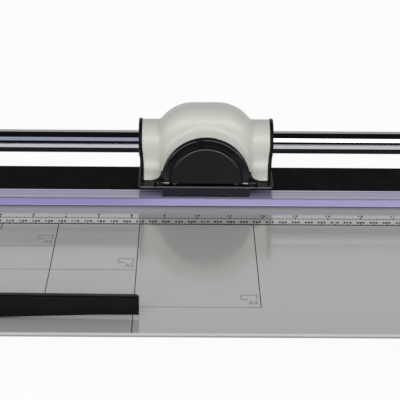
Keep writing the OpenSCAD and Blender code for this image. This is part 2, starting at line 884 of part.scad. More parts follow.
// Side outline of the cover's sleeve and skirt, grown outwards by extra
module sleeve_outline(extra) {
  r = sleeve_r + extra;
  skirt = -skirt_front - extra;
  rear = skirt_rear + extra;
  wall = rail_y - r + touch_in;
  translate(rail_c) circle(r);
  polygon([
    [skirt, floor_top], [skirt, skirt_top], [wall, skirt_top + shoulder_h], [wall, rail_z], rail_c,
    [rail_y + r, rail_z], [rear - rear_lean, floor_top + rear_skirt_h], [rear, floor_top]
  ]);
}

module floor_outline() {
  w = head_half - floor_r;
  l = floor_front + floor_rear;
  translate([-head_half, -floor_front + floor_r]) square([head_w, l - 2 * floor_r]);
  translate([-w, -floor_front]) square([2 * w, l]);
  for (x = [-w, w], y = [-floor_front + floor_r, floor_rear - floor_r])
    translate([x, y]) circle(floor_r);
}

module head_chassis() {
  color([0.04, 0.04, 0.042]) on_head() difference() {
    union() {
      translate([0, 0, floor_z]) linear_extrude(floor_t) floor_outline();
      on_both_sides() {
        along_x(cover_half, head_half) sleeve_outline(cheek_proud);
        translate([0, rail_y, rail_z]) rod_x(boss_r, head_half - bush_l, cover_half + through);
        box([ear_in, -hinge_y - ear_r, floor_top - floor_t / 2],
          [ear_in + ear_t, -hinge_y + ear_r, hinge_z]);
        translate([0, -hinge_y, hinge_z]) rod_x(ear_r, ear_in, ear_in + ear_t);
      }
    }
    on_both_sides() {
      translate([0, rail_y, rail_z]) rod_x(bush_r + seat_fit, 0, head_half + through);
      translate([0, -hinge_y, hinge_z])
        rod_x(pin_r + run_fit, ear_in - through, ear_in + ear_t + through);
      for (y = post_y)
        translate([post_x, y, 0]) rod_z(small_hole_r, floor_z - through, floor_top + through);
      translate([shoe_screw_x, shoe_screw_y, 0])
        rod_z(small_hole_r, floor_z - through, floor_top + through);
      translate([holder_screw_x, holder_screw_y, 0])
        rod_z(small_hole_r, floor_z - through, floor_top + through);
    }
    box([-wheel_slot_x, wheel_slot_front, floor_z - through],
      [wheel_slot_x, wheel_slot_back, floor_top + through]);
  }
}

// The dome over the blade, drawn smaller by inset
module dome(inset) {
  intersection() {
    along_y(-dome_front + inset, dome_rear - inset)
      arch_outline(dome_w / 2 - inset, floor_top - inset, dome_top - inset, dome_corner - inset);
    translate([0, (dome_rear - dome_front) / 2, 0]) along_x(-dome_w, dome_w)
      arch_outline((dome_rear + dome_front) / 2 - inset, floor_top - inset, dome_top - inset,
        dome_edge_r - inset);
  }
}

module head_cover() {
  color([0.82, 0.81, 0.77]) on_head() difference() {
    union() {
      difference() {
        union() {
          along_x(-cover_half, cover_half) sleeve_outline(0);
          dome(0);
          translate([0, -collar_front, guard_z]) rotate([-90, 0, 0])
            cylinder(h = collar_front - dome_front + cover_wall, r1 = collar_r, r2 = collar_r + collar_flare);
        }
        along_x(-cover_half - through, cover_half + through) sleeve_outline(-cover_wall);
        box([-cover_half - through, -skirt_front + cover_wall, floor_top - through],
          [cover_half + through, skirt_rear - cover_wall, floor_top + through]);
        dome(cover_wall);
        translate([0, 0, guard_z])
          rod_y(opening_r, -collar_front - through, -dome_front + cover_wall + through);
      }
      on_both_sides() for (y = post_y)
        translate([post_x, y, 0]) intersection() {
          rod_z(post_r, floor_top, floor_top + post_h);
          translate([-post_x, -y, 0]) along_x(0, cover_half) sleeve_outline(0);
        }
    }
    box([-head_w, -head_w, -head_w], [head_w, head_w, floor_top]);
    on_both_sides() for (y = post_y)
      translate([post_x, y, 0]) rod_z(small_hole_r, floor_top - through,
        floor_top + post_h - post_bore_end);
  }
}

module bush() {
  on_head() translate([0, rail_y, rail_z]) difference() {
    rod_x(bush_r, head_half - bush_l, head_half);
    rod_x(rail_r + run_fit, head_half - bush_l - through, head_half + through);
  }
}

module left_bush() {
  color([0.9, 0.9, 0.88]) translate([2 * head_x, 0, 0]) mirror([1, 0, 0]) bush();
}

module right_bush() {
  color([0.9, 0.9, 0.88]) bush();
}

module press_shoe() {
  color([0.17, 0.18, 0.2]) on_head() difference() {
    along_y(-shoe_front, -shoe_rear) polygon([
      [-shoe_w / 2, floor_z], [-shoe_w / 2, shoe_z + shoe_nose_h], [-shoe_w / 2 + shoe_nose, shoe_z],
      [shoe_w / 2 - shoe_nose, shoe_z], [shoe_w / 2, shoe_z + shoe_nose_h], [shoe_w / 2, floor_z]
    ]);
    on_both_sides() translate([shoe_screw_x, shoe_screw_y, 0])
      rod_z(small_hole_r, shoe_z + shoe_bore_floor, floor_z + through);
  }
}

module shoe_screws() {
  color([0.6, 0.6, 0.62]) on_head() on_both_sides() translate([shoe_screw_x, shoe_screw_y, 0])
    screw_down(small_r, small_head_r, small_head_h, floor_top + small_head_h,
      shoe_z + shoe_screw_floor);
}

module axle_holder() {
  color([0.5, 0.5, 0.52]) on_head() difference() {
    union() {
      box([-holder_w / 2, holder_y, floor_top], [holder_w / 2, holder_back, wheel_z + holder_up]);
      on_both_sides() box([lug_in, holder_y, floor_top],
        [holder_w / 2, holder_back + flange_l, floor_top + flange_t]);
    }
    translate([0, 0, wheel_z]) rod_y(axle_r + seat_fit, holder_y - through, holder_back + through);
    on_both_sides() translate([holder_screw_x, holder_screw_y, 0])
      rod_z(small_hole_r, floor_top - through, floor_top + flange_t + through);
  }
}

module holder_screws() {
  color([0.6, 0.6, 0.62]) on_head() on_both_sides() translate([holder_screw_x, holder_screw_y, 0])
    screw_down(small_r, small_head_r, small_head_h, floor_top + flange_t + small_head_h, floor_z);
}

module wheel_axle() {
  color([0.65, 0.66, 0.68]) on_wheel() {
    rod_y(axle_r, axle_front, holder_back + axle_head_t);
    rod_y(axle_head_r, holder_back, holder_back + axle_head_t);
  }
}

module spring_washer() {
  color([0.6, 0.6, 0.62]) on_wheel() turned_y() polygon([
    [sleeve_in, hub_back + turn_gap], [sleeve_in + spring_wall, hub_back + turn_gap],
    [spring_out, holder_y - spring_wall], [spring_out, holder_y], [spring_out - spring_wall, holder_y]
  ]);
}

module axle_spacer() {
  color([0.6, 0.6, 0.62]) on_wheel() difference() {
    rod_y(sleeve_out, spacer_front, spacer_front + spacer_t);
    rod_y(axle_r + seat_fit, spacer_front - through, ring_front);
  }
}

module axle_nut() {
  color([0.6, 0.6, 0.62]) on_wheel() difference() {
    translate([0, nut_front, 0]) rotate([-90, 0, 0])
      cylinder(h = nut_t, r = nut_af / sqrt(3), $fn = 6);
    rod_y(axle_r + seat_fit, nut_front - through, spacer_front + through);
  }
}

module hinge_pins() {
  color([0.7, 0.7, 0.72]) on_head() on_both_sides() translate([0, -hinge_y, hinge_z])
    rod_x(pin_r, knuckle_in + pin_bury, ear_in + ear_t);
}

module cover_screws() {
  color([0.6, 0.6, 0.62]) on_head() on_both_sides() for (y = post_y)
    translate([post_x, y, 0])
      screw_up(small_r, small_head_r, small_head_h, floor_z - small_head_h,
        floor_top + post_h - post_screw_end);
}

module hub_screw_places() {
  for (a = [90, 210, 330])
    rotate([0, a, 0]) translate([hub_pitch_d / 2, 0, 0]) children();
}

module cutter_wheel() {
  color([0.78, 0.79, 0.81]) on_wheel() difference() {
    turned_y() polygon([
      [spigot_r + seat_fit, wheel_front], [wheel_r, wheel_front], [wheel_r, wheel_front + wheel_edge],
      [wheel_r - wheel_bevel, wheel_back], [spigot_r + seat_fit, wheel_back]
    ]);
    hub_screw_places() rod_y(hub_screw_r + hole_extra, -through, wheel_back + through);
  }
}

module wheel_hub() {
  color([0.3, 0.3, 0.32]) on_wheel() difference() {
    union() {
      rod_y(hub_r, wheel_back, hub_back);
      rod_y(spigot_r, ring_front, hub_back);
    }
    rod_y(sleeve_out + seat_fit, ring_front - through, hub_back + through);
    hub_screw_places()
      rod_y(hub_screw_r + hole_extra, wheel_back - through, hub_screw_tip + hole_extra);
  }
}

module hub_ring() {
  color([0.3, 0.3, 0.32]) on_wheel() difference() {
    rod_y(ring_r, ring_front, wheel_front);
    rod_y(spigot_r + seat_fit, ring_front - through, wheel_front + through);
    hub_screw_places() {
      rod_y(hub_screw_r + hole_extra, ring_front - through, wheel_front + through);
      rod_y(hub_screw_head_r + hole_extra, ring_front - through, ring_front + hub_screw_head_h);
    }
  }
}

module hub_sleeve() {
  color([0.72, 0.56, 0.3]) on_wheel() difference() {
    rod_y(sleeve_out, ring_front, hub_back);
    rod_y(sleeve_in, ring_front - through, hub_back + through);
  }
}

module hub_screws() {
  color([0.6, 0.6, 0.62]) on_wheel() hub_screw_places() {
    rod_y(hub_screw_r, ring_front, hub_screw_tip);
    rod_y(hub_screw_head_r, ring_front, ring_front + hub_screw_head_h);
  }
}

// Half outline of the guard, radius against y, drawn smaller by inset
module guard_outline(inset) {
  r = guard_r - inset;
  front = -guard_front + inset;
  back = -guard_back;
  polygon([
    [0, back], [r, back], [r, back - rim_flat], [r - rim_step, back - rim_flat - rim_step],
    [panel_r + rim_step, front + panel_step], [panel_r + panel_rim - inset, front], [0, front]
  ]);
}

module guard_solid(inset) {
  translate([0, 0, guard_z]) turned_y() guard_outline(inset);
  translate([0, 0, guard_low]) linear_extrude(guard_z - guard_low) {
    guard_outline(inset);
    mirror([1, 0]) guard_outline(inset);
  }
}

// Outline of the hollow-sided flare at a lower corner of the guard
module flare_outline() {
  difference() {
    translate([guard_r - flare_root, guard_low]) square([flare_root + flare_w, flare_h]);
    translate([guard_r + flare_r, guard_low + flare_r]) circle(flare_r);
  }
}

module blade_guard() {
  color([0.05, 0.05, 0.053]) on_head() difference() {
    union() {
      difference() {
        guard_solid(0);
        guard_solid(guard_wall);
        translate([0, -guard_back, guard_z]) rod_y(guard_r - guard_wall, -through, through);
        box([-guard_r + guard_wall, -guard_back - through, guard_low - through],
          [guard_r - guard_wall, -guard_back + through, guard_z]);
        translate([0, 0, guard_z]) rod_y(panel_r + seat_fit, -guard_front - through,
          -guard_front + panel_t - panel_proud);
        box([-guard_r - through, -guard_front - guard_r, -guard_r],
          [guard_r + through, guard_r, guard_low]);
      }
      on_both_sides() {
        translate([0, -hinge_y, hinge_z]) rod_x(knuckle_r, knuckle_in, knuckle_out);
        along_y(-guard_back - flare_t, -guard_back) flare_outline();
        box([knuckle_in, -hinge_y - knuckle_r / 2, hinge_z],
          [guard_r - guard_wall / 2, -hinge_y + knuckle_r, guard_z]);
      }
    }
    on_both_sides() translate([0, -hinge_y, hinge_z])
      rod_x(pin_r + run_fit, knuckle_in - through, knuckle_out + through);
  }
}

module guard_panel() {
  color([0.16, 0.165, 0.175]) on_head() difference() {
    translate([0, 0, guard_z])
      rod_y(panel_r, -guard_front - panel_proud, -guard_front + panel_t - panel_proud);
    box([-guard_r, -guard_front - guard_r, -guard_r], [guard_r, guard_r, guard_low]);
  }
}

// Plan of the arm: straight sides and a rounded tip
module arm_plan() {
  y0 = -stop_y - arm_d;
  translate([arm_x0, y0]) square([arm_x1 - arm_x0 - arm_tip_r, arm_d]);
  translate([arm_x0, y0 + arm_tip_r]) square([arm_x1 - arm_x0, arm_d - 2 * arm_tip_r]);
  for (y = [y0 + arm_tip_r, y0 + arm_d - arm_tip_r])
    translate([arm_x1 - arm_tip_r, y]) circle(arm_tip_r);
}

module backstop_arm() {
  color([0.05, 0.05, 0.055]) on_fence() difference() {
    union() {
      translate([0, 0, arm_z]) linear_extrude(arm_root_h - arm_z) arm_plan();
      box([block_left, block_y - block_l / 2, block_z],
        [block_right, block_y + block_l / 2, block_top]);
      box([-tongue_w / 2, block_y - block_l / 2, groove_top + pass_gap],
        [tongue_w / 2, block_y + block_l / 2, block_z + through]);
    }
    along_y(-stop_y - arm_d - through, -stop_y - lip_t) polygon([
      [arm_x1 - arm_rise_l, arm_z], [arm_x1 - arm_rise_l, -through], [arm_x1 + through, -through],
      [arm_x1 + through, arm_tip_z], [arm_x1, arm_tip_z]
    ]);
    along_y(-stop_y - arm_d - through, -stop_y + through) polygon([
      [block_right, arm_root_h], [block_right, arm_root_h + through],
      [arm_x1 + through, arm_root_h + through], [arm_x1 + through, arm_tip_h], [arm_x1, arm_tip_h]
    ]);
    translate([0, block_y, 0]) rod_z(bolt_d / 2 + run_fit, groove_top, block_top + through);
  }
}

module clamping_bolt() {
  color([0.6, 0.6, 0.62]) on_fence() translate([0, block_y, 0]) {
    box([-fence_groove_w / 2 + pass_gap, -bolt_head_l / 2, bolt_head_z[0]],
      [fence_groove_w / 2 - pass_gap, bolt_head_l / 2, bolt_head_z[1]]);
    rod_z(bolt_d / 2, bolt_head_z[0], bolt_tip);
  }
}

module backstop_knob() {
  color([0.06, 0.06, 0.065]) on_fence() translate([0, block_y, knob_z]) difference() {
    union() {
      rod_z(knob_neck_r, 0, knob_neck_h);
      rod_z(knob_r, knob_neck_h, knob_h);
    }
    for (i = [0:knob_flutes - 1])
      rotate([0, 0, i * 360 / knob_flutes]) translate([knob_r + flute_r / 2, 0, 0])
        rod_z(flute_r, -through, knob_h + through);
    rod_z(bolt_d / 2 + run_fit, -through, bolt_tip - knob_z + bolt_play);
  }
}

table_top();
front_bar();
left_bar();
right_bar();
left_cross_bar();
right_cross_bar();
rear_beam();
fixed_knife();
knife_screws();
front_left_foot();
front_right_foot();
rear_left_foot();
rear_right_foot();
foot_screws();
left_bracket();
right_bracket();
bracket_screws();
left_end_cover();
right_end_cover();
end_cover_screws();
rail();
rail_plugs();
rail_bolts();
left_buffer();
right_buffer();
left_clamp_spring();
right_clamp_spring();
side_fence();
fence_screws();
clamp_bar();
clamp_grip();
head_chassis();
head_cover();
left_bush();
right_bush();
press_shoe();
shoe_screws();
axle_holder();
holder_screws();
wheel_axle();
spring_washer();
axle_spacer();
axle_nut();
hinge_pins();
cover_screws();
cutter_wheel();
wheel_hub();
hub_ring();
hub_sleeve();
hub_screws();
blade_guard();
guard_panel();
backstop_arm();
clamping_bolt();
backstop_knob();
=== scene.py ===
"""Looks of a rolling-blade paper cutter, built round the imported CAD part.

Lengths are written in millimetres in the part's own frame, x along the cut, y to the rear, z up,
and turn into metres when a mesh is made. The studio is written in metres.
"""

import math

import bmesh
import bpy
import numpy as np
from mathutils import Matrix, Vector


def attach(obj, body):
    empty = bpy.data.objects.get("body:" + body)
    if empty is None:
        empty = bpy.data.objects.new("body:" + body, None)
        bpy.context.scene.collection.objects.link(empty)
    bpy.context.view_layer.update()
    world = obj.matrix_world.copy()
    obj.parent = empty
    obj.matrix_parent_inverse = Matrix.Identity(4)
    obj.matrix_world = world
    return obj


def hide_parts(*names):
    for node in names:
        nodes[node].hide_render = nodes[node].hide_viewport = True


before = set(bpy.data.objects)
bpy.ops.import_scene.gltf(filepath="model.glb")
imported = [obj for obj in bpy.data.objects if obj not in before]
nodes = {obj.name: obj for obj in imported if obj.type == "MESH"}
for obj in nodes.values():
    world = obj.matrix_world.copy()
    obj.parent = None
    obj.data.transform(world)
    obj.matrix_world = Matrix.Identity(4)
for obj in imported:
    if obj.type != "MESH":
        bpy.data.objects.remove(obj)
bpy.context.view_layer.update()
scene = bpy.context.scene
MM = 0.001

# Places shared by several pieces
BOARD_Z = 30.0
CUT_Y = 90.0
ZERO_X = -255.0
HEAD_X = 6.0
RAIL_Y, RAIL_Z = 104.0, 71.0
ARCH_Z = 49.5
FLOOR_TOP, COVER_LOW = 45.0, 45.3
COVER_HALF, HEAD_HALF = 50.9, 53.5
HINGE_Y, HINGE_Z = 70.4, 47.8


# Camera, world and lights

IMAGE_PX, FOCAL_PX = 400.0, 1584.89
CAMERA_PITCH, CAMERA_YAW, CAMERA_ROLL = 21.4426, 0.5662, 0.5651
CAMERA_MM = (-10.11, -1096.86, 492.02)

ROOM_LEVEL = 0.355
FLOOR_SIZE, FLOOR_TONE, FLOOR_GLOW = 4.0, 0.9, 0.95

CARD_R, SILL_R, UNDER_R = 2.4, 0.45, 0.021
CARD_HALF, SILL_HALF, UNDER_HALF = 4.0, 2.0, 0.33
SIDE_LEFT, SIDE_RIGHT = -0.6, -0.10
PLAIN = (1.0, 1.0, 1.0)

# Two small cards under the rail, dark gaps, a softbox with a dim bluish room in it, a wall behind.
# Name, first and last angle, left and right end, tint, level, radius, seen only from inside
CARDS = [
    ("card_under", -104.0, -40.0, -UNDER_HALF, UNDER_HALF, (0.9, 0.95, 1.1), 0.014, UNDER_R, True),
    ("card_streak", -38.0, -11.0, -UNDER_HALF, UNDER_HALF, (0.97, 0.98, 1.03), 0.56, UNDER_R, True),
    ("card_sill", -8.0, 0.0, -SILL_HALF, SILL_HALF, PLAIN, 0.008, SILL_R, False),
    ("card_gap", -1.5, 17.0, -CARD_HALF, CARD_HALF, PLAIN, 0.008, CARD_R, False),
    ("card_front", 17.0, 51.0, SIDE_RIGHT, CARD_HALF, PLAIN, 2.4, CARD_R, False),
    ("card_side", 17.0, 51.0, SIDE_LEFT, SIDE_RIGHT, (0.8, 0.87, 1.1), 0.37, CARD_R, False),
    ("card_left", 17.0, 51.0, -CARD_HALF, SIDE_LEFT, PLAIN, 2.4, CARD_R, False),
    ("card_ceiling", 51.0, 113.0, -CARD_HALF, CARD_HALF, PLAIN, 0.006, CARD_R, False),
    ("card_rear", 113.0, 151.0, -CARD_HALF, CARD_HALF, PLAIN, 0.34, CARD_R, False),
]


def make_camera():
    """The photograph's camera, as fitted to the printed scale."""
    data = bpy.data.cameras.new("camera")
    data.sensor_width = 36.0
    data.lens = FOCAL_PX / IMAGE_PX * data.sensor_width
    data.clip_start, data.clip_end = 0.05, 50.0
    pitch, yaw, roll = (math.radians(a) for a in (CAMERA_PITCH, CAMERA_YAW, CAMERA_ROLL))
    ahead = math.cos(pitch)
    look = Vector((math.sin(yaw) * ahead, math.cos(yaw) * ahead, -math.sin(pitch)))
    level = Vector((math.cos(yaw), -math.sin(yaw), 0.0))
    upright = level.cross(look)
    right = math.cos(roll) * level + math.sin(roll) * upright
    up = -math.sin(roll) * level + math.cos(roll) * upright
    camera = bpy.data.objects.new("camera", data)
    camera.matrix_world = Matrix((right, up, -look)).transposed().to_4x4()
    camera.matrix_world.translation = Vector(CAMERA_MM) * MM
    scene.collection.objects.link(camera)
    scene.camera = camera


def feed(tree, socket, value):
    """Input linked to another socket or set to a value."""
    if isinstance(value, bpy.types.NodeSocket):
        tree.links.new(value, socket)
    else:
        socket.default_value = value


def combined(tree, operation, first, second):
    """Math operation on two sockets or values."""
    node = tree.nodes.new("ShaderNodeMath")
    node.operation = operation
    feed(tree, node.inputs[0], first)
    feed(tree, node.inputs[1], second)
    return node.outputs[0]


def mixed(tree, factor, first, second):
    """Two shaders mixed by a factor."""
    mix = tree.nodes.new("ShaderNodeMixShader")
    tree.links.new(factor, mix.inputs[0])
    tree.links.new(first.outputs[0], mix.inputs[1])
    tree.links.new(second.outputs[0], mix.inputs[2])
    return mix


def show(tree, shader, kind="Material"):
    """Shader linked to the tree's output."""
    out = tree.nodes.new("ShaderNodeOutput" + kind)
    tree.links.new(shader.outputs[0], out.inputs[0])


def bare_material(name):
    """Material with an empty node tree."""
    mat = bpy.data.materials.get(name) or bpy.data.materials.new(name)
    mat.use_nodes = True
    mat.node_tree.nodes.clear()
    return mat


def seen_directly(tree):
    """1 for camera, glossy and transmitted rays, 0 for the rays that light the object."""
    path = tree.nodes.new("ShaderNodeLightPath")
    seen = path.outputs["Is Camera Ray"]
    for ray in ("Is Glossy Ray", "Is Transmission Ray"):
        seen = combined(tree, "MAXIMUM", seen, path.outputs[ray])
    return seen


def make_world():
    """White behind the object and in its reflections, and an even soft light from all round."""
    world = bpy.data.worlds.new("studio")
    scene.world = world
    world.use_nodes = True
    tree = world.node_tree
    tree.nodes.clear()
    room = tree.nodes.new("ShaderNodeBackground")
    room.inputs["Color"].default_value = (ROOM_LEVEL, ROOM_LEVEL, ROOM_LEVEL, 1.0)
    white = tree.nodes.new("ShaderNodeBackground")
    white.inputs["Color"].default_value = (1.0, 1.0, 1.0, 1.0)
    show(tree, mixed(tree, seen_directly(tree), room, white), "World")


def make_card(name, start, end, left, right, tint, level, r, inside):
    """Studio card on an arc round the rail, from one angle above the front horizon to another.

    Only glossy surfaces see it, and an inside card only what lies within its arc.
    """
    steps = 12
    angles = np.radians(np.linspace(start, end, steps + 1))
    verts = [(x, RAIL_Y * MM - r * math.cos(a), RAIL_Z * MM + r * math.sin(a))
             for a in angles for x in (left, right)]
    mesh = bpy.data.meshes.new(name)
    mesh.from_pydata(verts, [], [(2 * i, 2 * i + 1, 2 * i + 3, 2 * i + 2) for i in range(steps)])
    card = bpy.data.objects.new(name, mesh)
    scene.collection.objects.link(card)
    card.visible_camera = card.visible_diffuse = False
    card.visible_transmission = card.visible_shadow = False
    mat = bare_material(name)
    tree = mat.node_tree
    glow = tree.nodes.new("ShaderNodeEmission")
    glow.inputs["Color"].default_value = (*tint, 1.0)
    glow.inputs["Strength"].default_value = level
    shader = glow
    if inside:
        geometry = tree.nodes.new("ShaderNodeNewGeometry")
        clear = tree.nodes.new("ShaderNodeBsdfTransparent")
        shader = mixed(tree, geometry.outputs["Backfacing"], clear, glow)
    show(tree, shader)
    mesh.materials.append(mat)


def make_floor():
    """Pale floor that reads as white and keeps the object's shadow."""
    size = FLOOR_SIZE
    corners = [(-size, -size, 0), (size, -size, 0), (size, size, 0), (-size, size, 0)]
    mesh = bpy.data.meshes.new("floor")
    mesh.from_pydata(corners, [], [(0, 1, 2, 3)])
    floor = bpy.data.objects.new("floor", mesh)
    scene.collection.objects.link(floor)
    mat = bare_material("floor_white")
    tree = mat.node_tree
    share = combined(tree, "MULTIPLY", seen_directly(tree), FLOOR_GLOW)
    matt = tree.nodes.new("ShaderNodeBsdfDiffuse")
    matt.inputs["Color"].default_value = (FLOOR_TONE, FLOOR_TONE, FLOOR_TONE, 1.0)
    bright = tree.nodes.new("ShaderNodeEmission")
    bright.inputs["Color"].default_value = (1.0, 1.0, 1.0, 1.0)
    show(tree, mixed(tree, share, matt, bright))
    mesh.materials.append(mat)


def area_light(name, place, target, width, height, radiance):
    """Soft light that the object doesn't mirror."""
    data = bpy.data.lights.new(name, "AREA")
    data.shape = "RECTANGLE"
    data.size, data.size_y = width, height
    data.energy = radiance * math.pi * width * height
    light = bpy.data.objects.new(name, data)
    place, target = Vector(place), Vector(target)
    light.rotation_mode = "QUATERNION"
    light.rotation_quaternion = (target - place).to_track_quat("-Z", "Y")
    light.location = place
    light.visible_glossy = False
    scene.collection.objects.link(light)


# Materials

EVEN = (1.0, 1.0, 1.0)
BRUSHED_X = (0.02, 1.0, 1.0)
BRUSHED_Y = (1.0, 0.03, 1.0)
PATCH_DETAIL, GLOSS_DETAIL, GRAIN_DETAIL = 4.0, 5.0, 2.0
GLOSS_PATCH, LEAST_ROUGH, GRAIN_DEPTH = 2.7, 0.02, 0.1
WORN_FROM, WORN_FULL, WORN_PALER = 0.52, 0.6, 0.35

# Painted highlight and shade across the clamp bar, lines and faces, as tints from its front edge to
# its rear one
CLAMP_PAINTED_LIGHT = [
    (63.0, (1.0, 0.98, 1.1)), (63.25, (0.68, 0.62, 0.88)),
    (65.1, (0.7, 0.645, 0.9)), (65.3, (0.42, 0.4, 0.56)),
    (65.9, (0.42, 0.4, 0.56)), (66.2, (0.7, 0.68, 0.76)),
    (67.8, (0.7, 0.68, 0.76)), (68.2, (0.94, 0.94, 0.94)),
    (70.2, (0.9, 0.9, 0.92)), (71.0, (0.7, 0.69, 0.75)),
    (79.0, (0.67, 0.67, 0.73)), (79.4, (0.42, 0.42, 0.5)),
    (81.3, (0.42, 0.42, 0.5)), (81.6, (1.15, 1.17, 1.2)),
    (84.0, (1.15, 1.17, 1.2)), (84.4, (0.6, 0.6, 0.7)),
]

# Painted highlights, places made paler where edges catch the light, as limits (axis, none of it,
# all of it)
PLATE_RIM_HIGHLIGHT = [("Y", 69.85, 69.7), ("Z", 44.0, 44.2), ("Z", 45.2, 45.1)]
PANEL_ARC_HIGHLIGHT = [("R", 26.45, 26.55), ("Z", ARCH_Z + 11.0, ARCH_Z + 23.0)]


def linear(value):
    v = value / 255.0
    return v / 12.92 if v <= 0.04045 else ((v + 0.055) / 1.055) ** 2.4


def colour(rgb, gain=1.0):
    return tuple(min(1.0, linear(c) * gain) for c in rgb) + (1.0,)


def noise(tree, scale, detail, stretch):
    """Noise in the part's own frame, scale per metre."""
    coords = tree.nodes.new("ShaderNodeTexCoord")
    mapping = tree.nodes.new("ShaderNodeMapping")
    mapping.inputs["Scale"].default_value = stretch
    tex = tree.nodes.new("ShaderNodeTexNoise")
    tex.inputs["Scale"].default_value = scale
    tex.inputs["Detail"].default_value = detail
    tree.links.new(coords.outputs["Object"], mapping.inputs["Vector"])
    tree.links.new(mapping.outputs["Vector"], tex.inputs["Vector"])
    return tex.outputs["Fac"]


def spread(tree, value, low, high, from_low=0.3, from_high=0.7):
    """Value stretched from one range to another and held at its ends."""
    node = tree.nodes.new("ShaderNodeMapRange")
    node.inputs["From Min"].default_value = from_low
    node.inputs["From Max"].default_value = from_high
    node.inputs["To Min"].default_value = low
    node.inputs["To Max"].default_value = high
    tree.links.new(value, node.inputs["Value"])
    return node.outputs["Result"]


def colour_mix(tree, factor, first, second, how="MIX"):
    """Mix of two colours; each of the three is a socket or a value."""
    mix = tree.nodes.new("ShaderNodeMix")
    mix.data_type, mix.blend_type = "RGBA", how
    feed(tree, mix.inputs["Factor"], factor)
    feed(tree, mix.inputs["A"], first)
    feed(tree, mix.inputs["B"], second)
    return mix.outputs["Result"]


def guard_radius(tree, coords):
    """Distance of a point from the axis of the guard's arch."""
    shift = tree.nodes.new("ShaderNodeMapping")
    shift.inputs["Location"].default_value = (-HEAD_X * MM, 0.0, -ARCH_Z * MM)
    flat = tree.nodes.new("ShaderNodeVectorMath")
    flat.operation = "MULTIPLY"
    flat.inputs[1].default_value = (1.0, 0.0, 1.0)
    length = tree.nodes.new("ShaderNodeVectorMath")
    length.operation = "LENGTH"
    tree.links.new(coords, shift.inputs["Vector"])
    tree.links.new(shift.outputs["Vector"], flat.inputs[0])
    tree.links.new(flat.outputs[0], length.inputs[0])
    return length.outputs["Value"]


def place_along(tree, axis):
    """A point's X, Y or Z in the part's own frame, or R, its distance from the guard's axis."""
    coords = tree.nodes.new("ShaderNodeTexCoord").outputs["Object"]
    if axis == "R":
        return guard_radius(tree, coords)
    split = tree.nodes.new("ShaderNodeSeparateXYZ")
    tree.links.new(coords, split.inputs[0])
    return split.outputs[axis]


def tinted(tree, shade, bands):
    """Colour times a tint that changes along y, a painted highlight and shade; bands are (y, tint).
    """
    first, last = bands[0][0], bands[-1][0]
    ramp = tree.nodes.new("ShaderNodeValToRGB")
    elements = ramp.color_ramp.elements
    for y, _ in bands[1:-1]:
        elements.new((y - first) / (last - first))
    for element, (_, tint) in zip(elements, bands):
        element.color = (*tint, 1.0)
    share = spread(tree, place_along(tree, "Y"), 0.0, 1.0, first * MM, last * MM)
    tree.links.new(share, ramp.inputs[0])
    return colour_mix(tree, 1.0, shade, ramp.outputs[0], "MULTIPLY")


def rubbed(tree, shade, highlight_tone, limits):
    """Painted highlight: a paler colour where a point is past every limit."""
    factor = None
    for axis, none, full in limits:
        share = spread(tree, place_along(tree, axis), 0.0, 1.0, none * MM, full * MM)
        factor = share if factor is None else combined(tree, "MULTIPLY", factor, share)
    return colour_mix(tree, factor, shade, colour(highlight_tone))


def surface(name, rgb, rough, metal=0.0, spec=0.5, mottle=0.05, patch=30.0, rough_by=0.05,
            grain=0.0, grain_mm=0.5, stretch=EVEN, wear=0.0, bands=(), highlight_tone=None, limits=()):
    """Material with patches, grain in relief, worn edges, bands of painted highlight and shade, and
    a painted highlight.
    """
    mat = bare_material(name)
    tree = mat.node_tree
    links = tree.links.new
    bsdf = tree.nodes.new("ShaderNodeBsdfPrincipled")
    show(tree, bsdf)
    bsdf.inputs["Metallic"].default_value = metal
    bsdf.inputs["Specular IOR Level"].default_value = spec
    patches = spread(tree, noise(tree, patch, PATCH_DETAIL, stretch), 0.0, 1.0)
    shade = colour_mix(tree, patches, colour(rgb, 1.0 - mottle), colour(rgb, 1.0 + mottle))
    # painted highlight and shade: bands of tint along y, then a paler patch past the limits
    if bands:
        shade = tinted(tree, shade, bands)
    if limits:
        shade = rubbed(tree, shade, highlight_tone, limits)
    if wear:
        geometry = tree.nodes.new("ShaderNodeNewGeometry")
        edge = spread(tree, geometry.outputs["Pointiness"], 0.0, wear, WORN_FROM, WORN_FULL)
        shade = colour_mix(tree, edge, shade, colour([c + WORN_PALER * (255 - c) for c in rgb]))
    links(shade, bsdf.inputs["Base Color"])
    gloss = noise(tree, patch * GLOSS_PATCH, GLOSS_DETAIL, stretch)
    least, most = max(LEAST_ROUGH, rough - rough_by), rough + rough_by
    links(spread(tree, gloss, least, most), bsdf.inputs["Roughness"])
    if grain:
        bump = tree.nodes.new("ShaderNodeBump")
        bump.inputs["Strength"].default_value = grain
        bump.inputs["Distance"].default_value = GRAIN_DEPTH * grain_mm * MM
        relief = noise(tree, 1.0 / (grain_mm * MM), GRAIN_DETAIL, stretch)
        links(relief, bump.inputs["Height"])
        links(bump.outputs["Normal"], bsdf.inputs["Normal"])
    return mat


